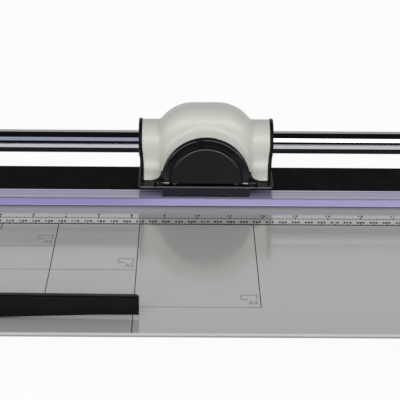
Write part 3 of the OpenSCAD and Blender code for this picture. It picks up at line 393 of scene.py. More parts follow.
def make_materials():
    # Table, frame, brackets, feet and print
    surface("table_grey", (179, 179, 177), 0.12, spec=0.8, mottle=0.012, patch=6.0, rough_by=0.02,
            grain=0.03, grain_mm=3.0)
    surface("frame_grey", (150, 150, 148), 0.42, mottle=0.03, grain=0.25, grain_mm=0.8, wear=0.3)
    surface("frame_black", (26, 26, 27), 0.5, spec=0.35, mottle=0.1, grain=0.3, grain_mm=0.7,
            wear=0.3)
    surface("beam_black", (11, 11, 10), 0.7, spec=0.02, mottle=0.15, patch=25.0, grain=0.3,
            grain_mm=0.6)
    surface("bracket_black", (24, 24, 26), 0.44, spec=0.4, mottle=0.08, grain=0.45, wear=0.3)
    surface("rubber_black", (24, 24, 25), 0.78, spec=0.3, mottle=0.15, patch=120.0, grain=0.5,
            grain_mm=0.4)
    surface("print_ink", (12, 12, 13), 0.5, spec=0.2, mottle=0.2, patch=300.0)
    surface("print_pale", (58, 58, 60), 0.5, spec=0.2, mottle=0.15, patch=300.0)
    # Metals
    surface("knife_steel", (196, 196, 200), 0.26, metal=1.0, mottle=0.06, patch=60.0,
            stretch=BRUSHED_X, grain=0.15, grain_mm=0.25)
    surface("screw_steel", (178, 178, 182), 0.28, metal=1.0, mottle=0.08, patch=200.0, grain=0.1,
            grain_mm=0.3)
    surface("dark_screw", (52, 52, 55), 0.34, metal=0.9, mottle=0.1, patch=200.0, grain=0.1,
            grain_mm=0.3)
    surface("rail_chrome", (248, 249, 252), 0.03, metal=1.0, mottle=0.03, patch=40.0,
            rough_by=0.01, stretch=BRUSHED_X, grain=0.01, grain_mm=1.2)
    surface("spring_steel", (170, 170, 174), 0.25, metal=1.0, mottle=0.08, patch=150.0,
            stretch=BRUSHED_Y)
    surface("fence_aluminium", (190, 191, 194), 0.33, metal=1.0, patch=80.0,
            stretch=BRUSHED_Y, grain=0.2, grain_mm=0.25)
    surface("holder_steel", (160, 160, 165), 0.3, metal=1.0, mottle=0.06, patch=90.0, grain=0.1)
    surface("blade_steel", (205, 206, 210), 0.14, metal=1.0, mottle=0.04, patch=200.0, grain=0.05,
            grain_mm=0.3)
    surface("hub_dark", (74, 74, 78), 0.32, metal=0.8, mottle=0.07, patch=150.0, grain=0.1)
    surface("sleeve_bronze", (190, 150, 92), 0.33, metal=1.0, mottle=0.08, patch=200.0, grain=0.1)
    # Mouldings of the head and the backstop
    surface("shell_cream", (204, 203, 196), 0.33, spec=0.45, mottle=0.02, patch=18.0,
            rough_by=0.04, grain=0.12, grain_mm=0.35)
    # head_black has a painted highlight line along the front rim of the head's floor plate
    surface("head_black", (13, 13, 14), 0.45, spec=0.12, mottle=0.1, grain=0.12, grain_mm=0.4,
            highlight_tone=(96, 96, 98), limits=PLATE_RIM_HIGHLIGHT)
    surface("bush_white", (226, 225, 219), 0.42, mottle=0.03, grain=0.1)
    surface("shoe_grey", (31, 34, 39), 0.4, spec=0.2, mottle=0.06, grain=0.3, grain_mm=0.4)
    surface("guard_black", (19, 20, 20), 0.13, spec=0.4, mottle=0.08, rough_by=0.03, grain=0.03)
    # panel_dark has a painted highlight arc along the upper rim of the guard's panel
    surface("panel_dark", (27, 28, 30), 0.34, spec=0.2, mottle=0.06, patch=60.0, grain=0.25,
            grain_mm=0.3, highlight_tone=(100, 101, 102), limits=PANEL_ARC_HIGHLIGHT)
    surface("stop_black", (12, 12, 13), 0.36, spec=0.12, mottle=0.08, patch=40.0, grain=0.3)
    # Clamp bar
    surface("grip_clear", (168, 166, 188), 0.45, spec=0.4, mottle=0.04)
    # clamp_violet has painted highlight and shade lines across the bar, and paler and darker faces
    violet = surface("clamp_violet", (198, 196, 228), 0.1, mottle=0.02, patch=8.0,
                     rough_by=0.02, bands=CLAMP_PAINTED_LIGHT)
    bsdf = next(n for n in violet.node_tree.nodes if n.type == "BSDF_PRINCIPLED")
    bsdf.inputs["Transmission Weight"].default_value = 0.3
    bsdf.inputs["IOR"].default_value = 1.49


# Meshes

SMOOTH_ANGLE = 34.0
NEARLY_STRAIGHT = 0.02
PLANES = {"x": (1, 2, 0), "y": (0, 2, 1), "z": (0, 1, 2)}


def tidy_normals(mesh):
    """Faces turned outwards and edges shaded by their angle."""
    bm = bmesh.new()
    bm.from_mesh(mesh)
    bmesh.ops.recalc_face_normals(bm, faces=bm.faces)
    bm.to_mesh(mesh)
    bm.free()
    mesh.shade_smooth()
    mesh.set_sharp_from_angle(angle=math.radians(SMOOTH_ANGLE))


def finished(name, mesh, material):
    """Object of a mesh, shaded and in the scene."""
    tidy_normals(mesh)
    obj = bpy.data.objects.new(name, mesh)
    scene.collection.objects.link(obj)
    if material:
        mesh.materials.append(bpy.data.materials[material])
    return obj


def new_object(name, verts_mm, faces, material=None):
    """Mesh object from points in millimetres."""
    mesh = bpy.data.meshes.new(name)
    mesh.from_pydata((np.asarray(verts_mm, float) * MM).tolist(), [], faces)
    return finished(name, mesh, material)


def join(name, pieces, material):
    """One object of several closed shells."""
    bm = bmesh.new()
    for piece in pieces:
        bm.from_mesh(piece.data)
        bpy.data.objects.remove(piece)
    mesh = bpy.data.meshes.new(name)
    bm.to_mesh(mesh)
    bm.free()
    return finished(name, mesh, material)


def evaluated_mesh(obj):
    """Mesh of an object with its modifiers, or of a text."""
    graph = bpy.context.evaluated_depsgraph_get()
    return bpy.data.meshes.new_from_object(obj.evaluated_get(graph))


def carve(obj, *cutters):
    """Cuts other meshes out of obj and deletes them."""
    for cutter in cutters:
        cut = obj.modifiers.new("cut", "BOOLEAN")
        cut.operation, cut.solver, cut.object = "DIFFERENCE", "EXACT", cutter
    mesh = evaluated_mesh(obj)
    obj.modifiers.clear()
    obj.data = mesh
    for cutter in cutters:
        bpy.data.objects.remove(cutter)
    tidy_normals(mesh)
    return obj


def circle(centre, r, count):
    a = np.arange(count) * 2 * math.pi / count
    return np.stack([centre[0] + r * np.cos(a), centre[1] + r * np.sin(a)], 1)


def box_corners(x, y, r):
    """Corners of a rectangle from its two ranges, for rounded()."""
    return [(x[0], y[0], r), (x[1], y[0], r), (x[1], y[1], r), (x[0], y[1], r)]


def rounded(corners, steps=6):
    """Outline through corners (x, y, r), each rounded by its own radius."""
    pts = [np.array(c[:2], float) for c in corners]
    loop = []
    for i, (p, corner) in enumerate(zip(pts, corners)):
        r = corner[2]
        if not r:
            loop.append(p)
            continue
        a, b = pts[i - 1] - p, pts[(i + 1) % len(pts)] - p
        a, b = a / np.linalg.norm(a), b / np.linalg.norm(b)
        half = math.acos(np.clip(a @ b, -1, 1)) / 2
        if half > math.pi / 2 - NEARLY_STRAIGHT:
            loop.append(p)
            continue
        centre = p + (a + b) / np.linalg.norm(a + b) * r / math.sin(half)
        start, end = p + a * r / math.tan(half) - centre, p + b * r / math.tan(half) - centre
        a0, a1 = math.atan2(start[1], start[0]), math.atan2(end[1], end[0])
        turn = (a1 - a0 + math.pi) % (2 * math.pi) - math.pi
        for k in range(steps + 1):
            angle = a0 + turn * k / steps
            loop.append(centre + r * np.array([math.cos(angle), math.sin(angle)]))
    return np.array(loop)


def inset(loop, d):
    """Closed outline moved inwards by d; it runs counter-clockwise."""
    before, after = loop - np.roll(loop, 1, 0), np.roll(loop, -1, 0) - loop
    n0 = np.stack([-before[:, 1], before[:, 0]], 1) / np.linalg.norm(before, axis=1)[:, None]
    n1 = np.stack([-after[:, 1], after[:, 0]], 1) / np.linalg.norm(after, axis=1)[:, None]
    share = 1.0 + (n0 * n1).sum(1)
    return loop + d * (n0 + n1) / share[:, None]


def counter_clockwise(loop):
    x, y = loop[:, 0], loop[:, 1]
    area = (x * np.roll(y, -1) - np.roll(x, -1) * y).sum()
    return loop if area > 0 else loop[::-1]


def ring_walls(rings, count):
    """Quads between neighbouring rings of count points."""
    faces = []
    for i in range(rings - 1):
        for j in range(count):
            k = (j + 1) % count
            faces.append((i * count + j, i * count + k, (i + 1) * count + k, (i + 1) * count + j))
    return faces


def slab(name, loop, axis, low, high, r_low=0.0, r_high=0.0, steps=4, slant=1.0):
    """Outline drawn out along an axis, its rims rounded; slant below 1 makes the rims steeper."""
    loop = counter_clockwise(np.asarray(loop, float))
    rings = []
    for k in range(steps + 1) if r_low else [steps]:
        a = math.pi / 2 * k / steps
        rings.append((slant * r_low * (1 - math.sin(a)), low + r_low * (1 - math.cos(a))))
    for k in range(steps + 1) if r_high else [0]:
        a = math.pi / 2 * (1 - k / steps)
        rings.append((slant * r_high * (1 - math.sin(a)), high - r_high * (1 - math.cos(a))))
    count = len(loop)
    verts = np.zeros((len(rings) * count, 3))
    first, second, third = PLANES[axis]
    for i, (by, level) in enumerate(rings):
        part = verts[i * count:(i + 1) * count]
        part[:, [first, second]] = inset(loop, by) if by else loop
        part[:, third] = level
    last = (len(rings) - 1) * count
    caps = [tuple(range(count))[::-1], tuple(range(last, last + count))]
    return new_object(name, verts, caps + ring_walls(len(rings), count))


def block(name, low, high):
    loop = [(low[0], low[1]), (high[0], low[1]), (high[0], high[1]), (low[0], high[1])]
    return slab(name, loop, "z", low[2], high[2])


def across(side, inner, outer, middle=0.0):
    """Two distances from a middle, on one side of it, in rising order of x."""
    return sorted((middle + side * inner, middle + side * outer))


def rims(side, outer, inner):
    """Rim radii of a slab on one side, in rising order of x."""
    return (outer, inner) if side < 0 else (inner, outer)


# Soft shapes: a skin over a field of distances

SETTLE_TIMES, SETTLE_EPS, SETTLE_REACH, LEAST_SLOPE = 3, 0.05, 0.4, 0.25


def soft_min(a, b, k):
    h = np.clip(0.5 + 0.5 * (b - a) / k, 0.0, 1.0)
    return b * (1 - h) + a * h - k * h * (1 - h)


def soft_max(a, b, k):
    return -soft_min(-a, -b, k)


def polygon_field(points, y, z):
    """Distance to an outline, negative inside."""
    pts = np.asarray(points, float)
    best = np.full(y.shape, 1e9)
    inside = np.zeros(y.shape, bool)
    for (ay, az), (by, bz) in zip(pts, np.roll(pts, -1, 0)):
        ey, ez = by - ay, bz - az
        t = np.clip(((y - ay) * ey + (z - az) * ez) / (ey * ey + ez * ez), 0, 1)
        best = np.minimum(best, (y - ay - t * ey) ** 2 + (z - az - t * ez) ** 2)
        if ez:
            inside ^= ((az > z) != (bz > z)) & (y < ay + ey * (z - az) / ez)
    return np.where(inside, -1, 1) * np.sqrt(best)


def arch_field(a, z, half, top, r):
    """Distance to an upright arch with rounded upper corners, open downwards."""
    da, dz = np.abs(a) - (half - r), z - (top - r)
    outside = np.hypot(np.maximum(da, 0), np.maximum(dz, 0))
    return np.minimum(np.maximum(da, dz), 0) + outside - r


def rounded_field(a, b, r):
    """Common part of two forms, the edge between them rounded."""
    outside = np.hypot(np.maximum(a + r, 0), np.maximum(b + r, 0))
    return np.minimum(np.maximum(a, b) + r, 0) + outside - r


def settle(field, points, step):
    """Points moved onto the zero surface."""
    value = field(points)
    slope = np.stack([(field(points + SETTLE_EPS * e) - field(points - SETTLE_EPS * e))
                      / (2 * SETTLE_EPS) for e in np.eye(3)], -1)
    size = np.maximum((slope ** 2).sum(-1), LEAST_SLOPE)
    move = -value[:, None] * slope / size[:, None]
    return points + np.clip(move, -SETTLE_REACH * step, SETTLE_REACH * step)


def skin(field, low, high, step):
    """Quads over the zero surface of a field of points, by surface nets."""
    axes = [np.arange(a, b + step, step) for a, b in zip(low, high)]
    grid = np.stack(np.meshgrid(*axes, indexing="ij"), -1)
    value = field(grid)
    inside = value < 0
    shape = np.array(value.shape) - 1
    corners = [(i, j, k) for i in (0, 1) for j in (0, 1) for k in (0, 1)]

    def part(corner):
        return tuple(slice(c, c + n) for c, n in zip(corner, shape))

    # One point in each cell that the surface crosses, the mean of its crossings
    count = sum(inside[part(c)].astype(int) for c in corners)
    crossing = (count > 0) & (count < 8)
    index = np.full(shape, -1)
    index[crossing] = np.arange(crossing.sum())
    total, hits = np.zeros((crossing.sum(), 3)), np.zeros(crossing.sum())
    for axis in range(3):
        for c in corners:
            if c[axis]:
                continue
            d = tuple(1 if a == axis else v for a, v in enumerate(c))
            v0, v1 = value[part(c)][crossing], value[part(d)][crossing]
            crossed = (v0 < 0) != (v1 < 0)
            p = grid[part(c)][crossing][crossed]
            p[:, axis] += step * v0[crossed] / (v0[crossed] - v1[crossed])
            total[crossed] += p
            hits[crossed] += 1
    points = total / hits[:, None]

    # One quad across each edge of the grid that the surface crosses
    faces = []
    for axis in range(3):
        b, c = (axis + 1) % 3, (axis + 2) % 3
        near, far = [slice(1, -1)] * 3, [slice(1, -1)] * 3
        near[axis], far[axis] = slice(0, -1), slice(1, None)
        s0, s1 = inside[tuple(near)], inside[tuple(far)]
        cells = np.argwhere(s0 != s1)
        flip = s0[s0 != s1]
        cells += np.array([0 if a == axis else 1 for a in range(3)])
        eb, ec = np.eye(3, dtype=int)[b], np.eye(3, dtype=int)[c]
        quad = np.stack([index[tuple((cells - o).T)] for o in (0 * eb, eb, eb + ec, ec)], 1)
        quad[~flip] = quad[~flip][:, ::-1]
        faces.append(quad)
    for _ in range(SETTLE_TIMES):
        points = settle(field, points, step)
    return points, np.concatenate(faces).tolist()


# Cover of the cutting head

SLEEVE_R, SLEEVE_BLEND, SKIRT_R = 17.9, 1.2, 1.6
SKIRT = [
    (84.6, 30.0), (84.6, 44.5), (84.9, 45.5), (85.45, 46.8), (85.85, 48.6), (85.9, 50.4),
    (85.76, 52.1), (85.7, 53.6), (85.8, 54.9), (86.13, 56.1), (86.75, 57.35), (87.5, 58.9),
    (88.04, 60.7), (88.2, 62.5), (88.2, 71.0), (104.0, 71.0), (120.0, 71.0), (124.4, 56.0),
    (126.4, 46.0), (126.4, 30.0),
]
DOME_X, DOME_HALF, DOME_TOP, DOME_R = -0.4, 41.0, 103.2, 31.5
DOME_FRONT, DOME_REAR, DOME_EDGE_R = 82.0, 119.0, 15.0
COLLAR_FRONT, COLLAR_BACK, COLLAR_R = 75.75, 82.7, 35.2
COLLAR_FLARE, COLLAR_BELL, COLLAR_LIP, COLLAR_DEEP = 0.53, 0.05, 1.73e-5, 8.0
SIDE_FLARE, COLLAR_SIDE, COLLAR_RIM, COLLAR_CORNER = 0.35, 37.5, 0.4, 2.0
SIDE_COLLAR_BLEND, SIDE_DOME_BLEND, DOME_COLLAR_BLEND = 3.0, 2.2, 0.35
LEAN, LEAN_TOP, LEAN_H = 1.5, 76.0, 22.0
COVER_WALL = 2.2
OPENING_R, OPENING_REAR, OPENING_BLEND = 33.1, 90.0, 0.5
POST_X, POST_YS, POST_R, POST_TOP = 46.5, (88.9, 123.4), 3.4, 55.0
SKIN_LOW, SKIN_HIGH, SKIN_STEP = (-46.1, 74.6, 43.9), (58.1, 130.0, 104.6), 0.8


def side_field(y, z):
    """Side outline of the cover: sleeve round the rail, waist and skirt."""
    sleeve = np.hypot(y - RAIL_Y, z - RAIL_Z) - SLEEVE_R
    return soft_min(sleeve, polygon_field(SKIRT, y, z) - SKIRT_R, SLEEVE_BLEND)


def lean(z):
    """How far the head's sides lean in at a height."""
    share = np.clip((LEAN_TOP - z) / LEAN_H, 0.0, 1.0)
    return LEAN * share * share * (3.0 - 2.0 * share)


def dome_field(x, y, z):
    """Dome over the rail, its front and rear edges rounded."""
    middle, half = (DOME_FRONT + DOME_REAR) / 2, (DOME_REAR - DOME_FRONT) / 2
    arch = arch_field(x - DOME_X, z, DOME_HALF, DOME_TOP, DOME_R)
    return rounded_field(arch, np.abs(y - middle) - half, DOME_EDGE_R)


def collar_field(x, y, z):
    """Bell-shaped collar round the guard, opening to the rear and less so at its sides."""
    t = np.clip(y - COLLAR_FRONT, 0.0, COLLAR_DEEP)
    r = np.hypot(x, z - ARCH_Z)
    share = SIDE_FLARE + (1.0 - SIDE_FLARE) * ((z - ARCH_Z) / np.maximum(r, 1.0)) ** 2
    rise = share * (COLLAR_FLARE + 2.0 * COLLAR_BELL * t + 6.0 * COLLAR_LIP * t ** 5)
    grown = share * (COLLAR_FLARE * t + COLLAR_BELL * t * t + COLLAR_LIP * t ** 6)
    bell = (r - COLLAR_R - grown) / np.sqrt(1.0 + rise ** 2)
    collar = np.maximum(soft_max(bell, COLLAR_FRONT - y, COLLAR_RIM), y - COLLAR_BACK)
    return soft_max(collar, np.abs(x) - COLLAR_SIDE, COLLAR_CORNER)


def cover_field(p):
    """Outer form of the head's cover: sleeve, dome and collar."""
    x, y, z = p[..., 0] - HEAD_X, p[..., 1], p[..., 2]
    side, dome, collar = side_field(y, z), dome_field(x, y, z), collar_field(x, y, z)
    form = np.minimum(soft_min(side, collar, SIDE_COLLAR_BLEND),
                      soft_min(side, dome, SIDE_DOME_BLEND))
    return np.minimum(form, soft_min(dome, collar, DOME_COLLAR_BLEND))


def shell_field(p):
    """Cover with its hollow, its ends, its front opening and the four posts inside."""
    x, y, z = p[..., 0] - HEAD_X, p[..., 1], p[..., 2]
    outer = cover_field(p)
    shell = np.maximum(np.maximum(outer, -(outer + COVER_WALL)), COVER_LOW - z)
    opening = np.maximum(np.hypot(x, z - ARCH_Z) - OPENING_R, y - OPENING_REAR)
    shell = soft_max(shell, -opening, OPENING_BLEND)
    for post_y in POST_YS:
        post = np.maximum(np.hypot(np.abs(x) - POST_X, y - post_y) - POST_R, z - POST_TOP)
        shell = np.minimum(shell, np.maximum(post, outer))
    return np.maximum(np.maximum(shell, FLOOR_TOP - z), np.abs(x) - COVER_HALF + lean(z))


def make_cover():
    verts, faces = skin(shell_field, SKIN_LOW, SKIN_HIGH, SKIN_STEP)
    cover = new_object("cover_shell", verts, faces, "shell_cream")
    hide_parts("head_cover")
    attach(cover, "head")


# Frame, guard and shoe of the cutting head

LOOP_POINTS, LOOP_HALVINGS, LOOP_Z, LOOP_REACH, LOOP_SPARE = 240, 40, 60.0, 60.0, 0.4
CHEEK_OUT, CHEEK_SINK, CHEEK_RIM, CHEEK_SEAM = 0.7, 0.4, 1.1, 0.25
PLATE_Y, PLATE_LOW, PLATE_CORNER = (69.2, 130.0), 43.4, 3.0
SLOT_HALF, SLOT_Y, SLOT_Z = 24.0, (85.7, 95.7), (40.0, 50.0)
BORE_R, BOSS_R, BOSS_INNER, BORE_SPARE = 12.0, 14.0, 37.5, 3.0
EAR_HALF, EAR_LOW, EAR_R, EAR_X = 2.0, 44.4, 1.95, (38.35, 41.2)

GUARD_PROFILE = [
    (20.0, 69.2, 0), (27.5, 69.2, 0.1), (28.0, 69.8, 0.1), (28.3, 70.6, 0.2),
    (28.6, 71.5, 0.3), (29.4, 71.0, 0.3), (33.0, 71.7, 0.15), (33.7, 72.12, 0.15),
    (34.9, 73.4, 0.5), (34.9, 75.4, 0.3), (33.6, 75.4, 0.2), (33.6, 74.0, 0.4),
    (32.8, 73.0, 0.3), (27.4, 72.6, 0.4), (26.6, 70.8, 0.3), (20.0, 70.8, 0),
]
GUARD_LOW = 48.0
FLARE_X, FLARE_Z, FLARE_RX, FLARE_RZ = 42.4, 56.2, 7.0, 7.4
FLARE_SWEEP, FLARE_INNER, FLARE_FOOT, FLARE_Y = (268.0, 181.0), 32.6, 42.2, (73.6, 75.4)
KNUCKLE_R, KNUCKLE_X = 1.8, (33.2, 38.0)
WEB_X, WEB_Y, WEB_SINK, WEB_RISE = (29.0, 34.4), (1.2, 2.6), 0.2, 0.6
PANEL_R, PANEL_LOW, PANEL_Y = 27.0, 48.05, (68.6, 69.6)
ARCH_STEPS = 96

SHOE_HALF, SHOE_LOW = 34.4, 37.2
SHOE_BARS = [(68.0, 69.1, 44.3), (69.0, 82.0, 43.4)]


def side_loop(out, low):
    """Side outline of the cover, grown by out and cut off at the height low."""
    a = np.linspace(-math.pi, math.pi, LOOP_POINTS, endpoint=False)
    centre = np.array([RAIL_Y, LOOP_Z])
    near, far = np.zeros(a.shape), np.full(a.shape, LOOP_REACH)
    for _ in range(LOOP_HALVINGS):
        r = (near + far) / 2
        outside = side_field(centre[0] + r * np.cos(a), centre[1] + r * np.sin(a)) > out
        far, near = np.where(outside, r, far), np.where(outside, near, r)
    loop = np.stack([centre[0] + near * np.cos(a), centre[1] + near * np.sin(a)], 1)
    above = loop[loop[:, 1] > low + LOOP_SPARE]
    start = np.argmax(np.linalg.norm(above - np.roll(above, 1, 0), axis=1))
    above = np.roll(above, -start, 0)
    return np.concatenate([above, [(above[-1][0], low)], [(above[0][0], low)]])


def make_frame():
    """Cheeks, floor plate, rail bosses and hinge ears of the head."""
    x0, x1 = HEAD_X - HEAD_HALF, HEAD_X + HEAD_HALF
    corners = rounded(box_corners((x0, x1), PLATE_Y, PLATE_CORNER))
    plate = slab("plate", corners, "z", PLATE_LOW, FLOOR_TOP, 0.4, 0.8, steps=1, slant=0.55)
    slot = block("slot", (HEAD_X - SLOT_HALF, SLOT_Y[0], SLOT_Z[0]),
                 (HEAD_X + SLOT_HALF, SLOT_Y[1], SLOT_Z[1]))
    pieces = [carve(plate, slot)]
    outline = side_loop(CHEEK_OUT, FLOOR_TOP - CHEEK_SINK)
    rail_bore = circle((RAIL_Y, RAIL_Z), BORE_R, 96)
    ear = rounded([(HINGE_Y - EAR_HALF, EAR_LOW, 0), (HINGE_Y + EAR_HALF, EAR_LOW, 0),
                   (HINGE_Y + EAR_HALF, HINGE_Z + EAR_HALF, EAR_R),
                   (HINGE_Y - EAR_HALF, HINGE_Z + EAR_HALF, EAR_R)], 8)
    for side in (-1, 1):
        low, high = across(side, COVER_HALF, HEAD_HALF, HEAD_X)
        cheek = slab("cheek", outline, "x", low, high, *rims(side, CHEEK_RIM, CHEEK_SEAM))
        carve(cheek, slab("bore", rail_bore, "x", low - BORE_SPARE, high + BORE_SPARE))
        for vertex in cheek.data.vertices:
            vertex.co.x -= side * lean(vertex.co.z / MM) * MM
        pieces.append(cheek)
        boss = slab("boss", circle((RAIL_Y, RAIL_Z), BOSS_R, 96), "x",
                    *across(side, BOSS_INNER, COVER_HALF, HEAD_X))
        bore = slab("bore", rail_bore, "x", x0 - BORE_SPARE, x1 + BORE_SPARE)
        pieces.append(carve(boss, bore))
        pieces.append(slab("ear", ear, "x", *across(side, *EAR_X, HEAD_X), 0.4, 0.4))
    chassis = join("head_frame", pieces, "head_black")
    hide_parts("head_chassis")
    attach(chassis, "head")


def half_turn(name, profile, low_z):
    """Profile of (radius, y) swept over the arch's upper half turn, then straight down to low_z."""
    profile = np.asarray(profile, float)
    radius, y = profile[:, 0], profile[:, 1]
    rings = [np.stack([HEAD_X + radius * math.cos(a), y, ARCH_Z + radius * math.sin(a)], 1)
             for a in np.linspace(0.0, math.pi, ARCH_STEPS + 1)]
    drop = np.array([0.0, 0.0, low_z - ARCH_Z])
    rings = [rings[0] + drop] + rings + [rings[-1] + drop]
    count = len(profile)
    last = (len(rings) - 1) * count
    caps = [tuple(range(count)), tuple(range(last, last + count))[::-1]]
    return new_object(name, np.concatenate(rings), caps + ring_walls(len(rings), count))


def flare_loop(side):
    """Outline of the foot where the guard's rim runs out to one side."""
    sweep = np.radians(np.linspace(*FLARE_SWEEP, 16))
    arc = np.stack([FLARE_X + FLARE_RX * np.cos(sweep), FLARE_Z + FLARE_RZ * np.sin(sweep)], 1)
    foot = [(FLARE_INNER, GUARD_LOW), (FLARE_FOOT, GUARD_LOW)]
    loop = np.concatenate([foot, arc, [(FLARE_INNER, FLARE_Z)]])
    loop[:, 0] = HEAD_X + side * loop[:, 0]
    return loop


def make_guard():
    """Arch of the guard with its feet and hinge knuckles, and the panel in it."""
    pieces = [half_turn("arch", rounded(GUARD_PROFILE, 4), GUARD_LOW)]
    for side in (-1, 1):
        pieces.append(slab("flare", flare_loop(side), "y", *FLARE_Y, 0.3, 0.1))
        ends = across(side, *KNUCKLE_X, HEAD_X)
        knuckle = circle((HINGE_Y, HINGE_Z), KNUCKLE_R, 40)
        pieces.append(slab("knuckle", knuckle, "x", *ends, 0.5, 0.5))
        ends = across(side, *WEB_X, HEAD_X)
        pieces.append(block("web", (ends[0], HINGE_Y + WEB_Y[0], HINGE_Z + WEB_SINK),
                            (ends[1], HINGE_Y + WEB_Y[1], ARCH_Z + WEB_RISE)))
    guard = join("guard_arch", pieces, "guard_black")
    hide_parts("blade_guard")
    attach(guard, "guard")
    sweep = np.linspace(0.0, math.pi, ARCH_STEPS + 1)
    arc = np.stack([HEAD_X + PANEL_R * np.cos(sweep), ARCH_Z + PANEL_R * np.sin(sweep)], 1)
    loop = np.concatenate([arc, [(HEAD_X - PANEL_R, PANEL_LOW)], [(HEAD_X + PANEL_R, PANEL_LOW)]])
    panel = slab("panel_face", loop, "y", *PANEL_Y, 0.35, 0.0)
    panel.data.materials.append(bpy.data.materials["panel_dark"])
    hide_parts("guard_panel")
    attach(panel, "guard")


def make_shoe():
    """Press shoe that rides on the clamp bar."""
    pieces = []
    x0, x1 = HEAD_X - SHOE_HALF, HEAD_X + SHOE_HALF
    for front, rear, top in SHOE_BARS:
        corners = [(x0, top, 0.3), (x0, SHOE_LOW, 0.5), (x1, SHOE_LOW, 0.5), (x1, top, 0.3)]
        pieces.append(slab("bar", rounded(corners), "y", front, rear, 0.3, 0.0))
    shoe = join("shoe_bar", pieces, "shoe_grey")
    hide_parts("press_shoe")
    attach(shoe, "head")


# Backstop

STOP_FRONT, STOP_REAR = -141.0, -134.0
ARM_ROOT, ARM_RISE, ARM_TIP, ARM_TIP_R = -254.6, -179.0, -40.6, 2.8
ARM_LOW, ARM_ROOT_TOP, ARM_TIP_LOW, ARM_TIP_TOP = 30.4, 48.4, 34.6, 46.7
LIP_DEEP, LIP_TIP_LOW = 2.0, 33.0
SLIDE_X, SLIDE_Y, SLIDE_Z = (-283.0, -249.0), (-155.5, -119.5), (40.35, 51.35)
TONGUE_X, TONGUE_Z = (-269.65, -264.35), (37.0, 40.6)
BOLT_XY, BOLT_R = (-267.0, -137.5), 2.55


def make_arm():
    """Backstop arm, tapering to its rounded tip, with the block that slides on the fence."""
    corners = [(ARM_ROOT, STOP_FRONT, 0), (ARM_RISE, STOP_FRONT, 0),
               (ARM_TIP, STOP_FRONT, ARM_TIP_R), (ARM_TIP, STOP_REAR, ARM_TIP_R),
               (ARM_RISE, STOP_REAR, 0), (ARM_ROOT, STOP_REAR, 0)]
    arm = slab("arm", rounded(corners), "z", ARM_LOW, ARM_ROOT_TOP, 0.5, 2.0, steps=6)
    for vertex in arm.data.vertices:
        x, z = vertex.co.x / MM, vertex.co.z / MM
        share = (z - ARM_LOW) / (ARM_ROOT_TOP - ARM_LOW)
        low = np.interp(x, (ARM_RISE, ARM_TIP), (ARM_LOW, ARM_TIP_LOW))
        top = np.interp(x, (ARM_ROOT, ARM_TIP), (ARM_ROOT_TOP, ARM_TIP_TOP))
        vertex.co.z = (low + share * (top - low)) * MM
    lip_front = STOP_REAR - LIP_DEEP
    edge = [(ARM_RISE, lip_front, 0), (ARM_TIP - 0.3, lip_front, 0.9),
            (ARM_TIP - 0.6, STOP_REAR, 1.6), (ARM_RISE, STOP_REAR, 0)]
    lip = slab("lip", rounded(edge), "z", ARM_LOW, ARM_TIP_LOW + 2.0, 0.2, 0.2)
    for vertex in lip.data.vertices:
        low = np.interp(vertex.co.x / MM, (ARM_RISE, ARM_TIP), (ARM_LOW, LIP_TIP_LOW)) * MM
        vertex.co.z = max(vertex.co.z, low)
    slide = slab("block", rounded(box_corners(SLIDE_X, SLIDE_Y, 2.0)), "z", *SLIDE_Z, 0.3, 1.2)
    tongue = block("tongue", (TONGUE_X[0], SLIDE_Y[0], TONGUE_Z[0]),
                   (TONGUE_X[1], SLIDE_Y[1], TONGUE_Z[1]))
    for piece in (slide, tongue):
        carve(piece, slab("bore", circle(BOLT_XY, BOLT_R, 48), "z", 30.0, 60.0))
    stop = join("stop_arm", [arm, lip, slide, tongue], "stop_black")
    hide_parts("backstop_arm")
    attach(stop, "backstop")


# Ends of the machine

END_R, END_Y, END_SHOULDER, END_LOW, END_CORNER = 20.0, (52.0, 160.0), 44.0, 29.0, 6.0
CAP_X, CAP_RIMS = (328.0, 350.0), (3.0, 0.3)
BRACKET_X, BRACKET_RIMS, BRACKET_IN = (316.0, 328.0), (0.3, 0.8), 0.5
SINK_X, SINK_YS, SINK_Z, SINK_R = (347.4, 353.0), (58.5, 153.0), 37.0, 4.2
APRON_X = (347.6, 350.0)
APRON = [(64.05, 16.0, 0.8), (160.0, 16.0, 1.5), (160.0, 31.4, 0), (78.0, 31.4, 0),
         (78.0, 27.95, 0), (64.05, 27.95, 0)]
WAY_X, WAY_Y, WAY_Z = (314.0, 325.35), (62.6, 84.75), (26.0, 37.25)


def end_loop(by):
    """Side outline of the end brackets and covers, drawn smaller by an amount."""
    centre, r = np.array([RAIL_Y, RAIL_Z]), END_R - by

    def touch(p, side):
        d = centre - p
        far = np.linalg.norm(d)
        a = math.atan2(d[1], d[0]) + side * math.asin(r / far)
        return p + math.sqrt(far * far - r * r) * np.array([math.cos(a), math.sin(a)])

    front, rear, shoulder = END_Y[0] + by, END_Y[1] - by, END_SHOULDER - by
    t0, t1 = touch(np.array([front, shoulder]), 1), touch(np.array([rear, shoulder]), -1)
    a0, a1 = (math.atan2(*(t - centre)[::-1]) for t in (t0, t1))
    arc = [(centre[0] + r * math.cos(a), centre[1] + r * math.sin(a), 0)
           for a in np.linspace(a0, a1, 40)]
    return rounded([(front, END_LOW, 0), (front, shoulder, END_CORNER), *arc,
                    (rear, shoulder, END_CORNER), (rear, END_LOW, 0)])


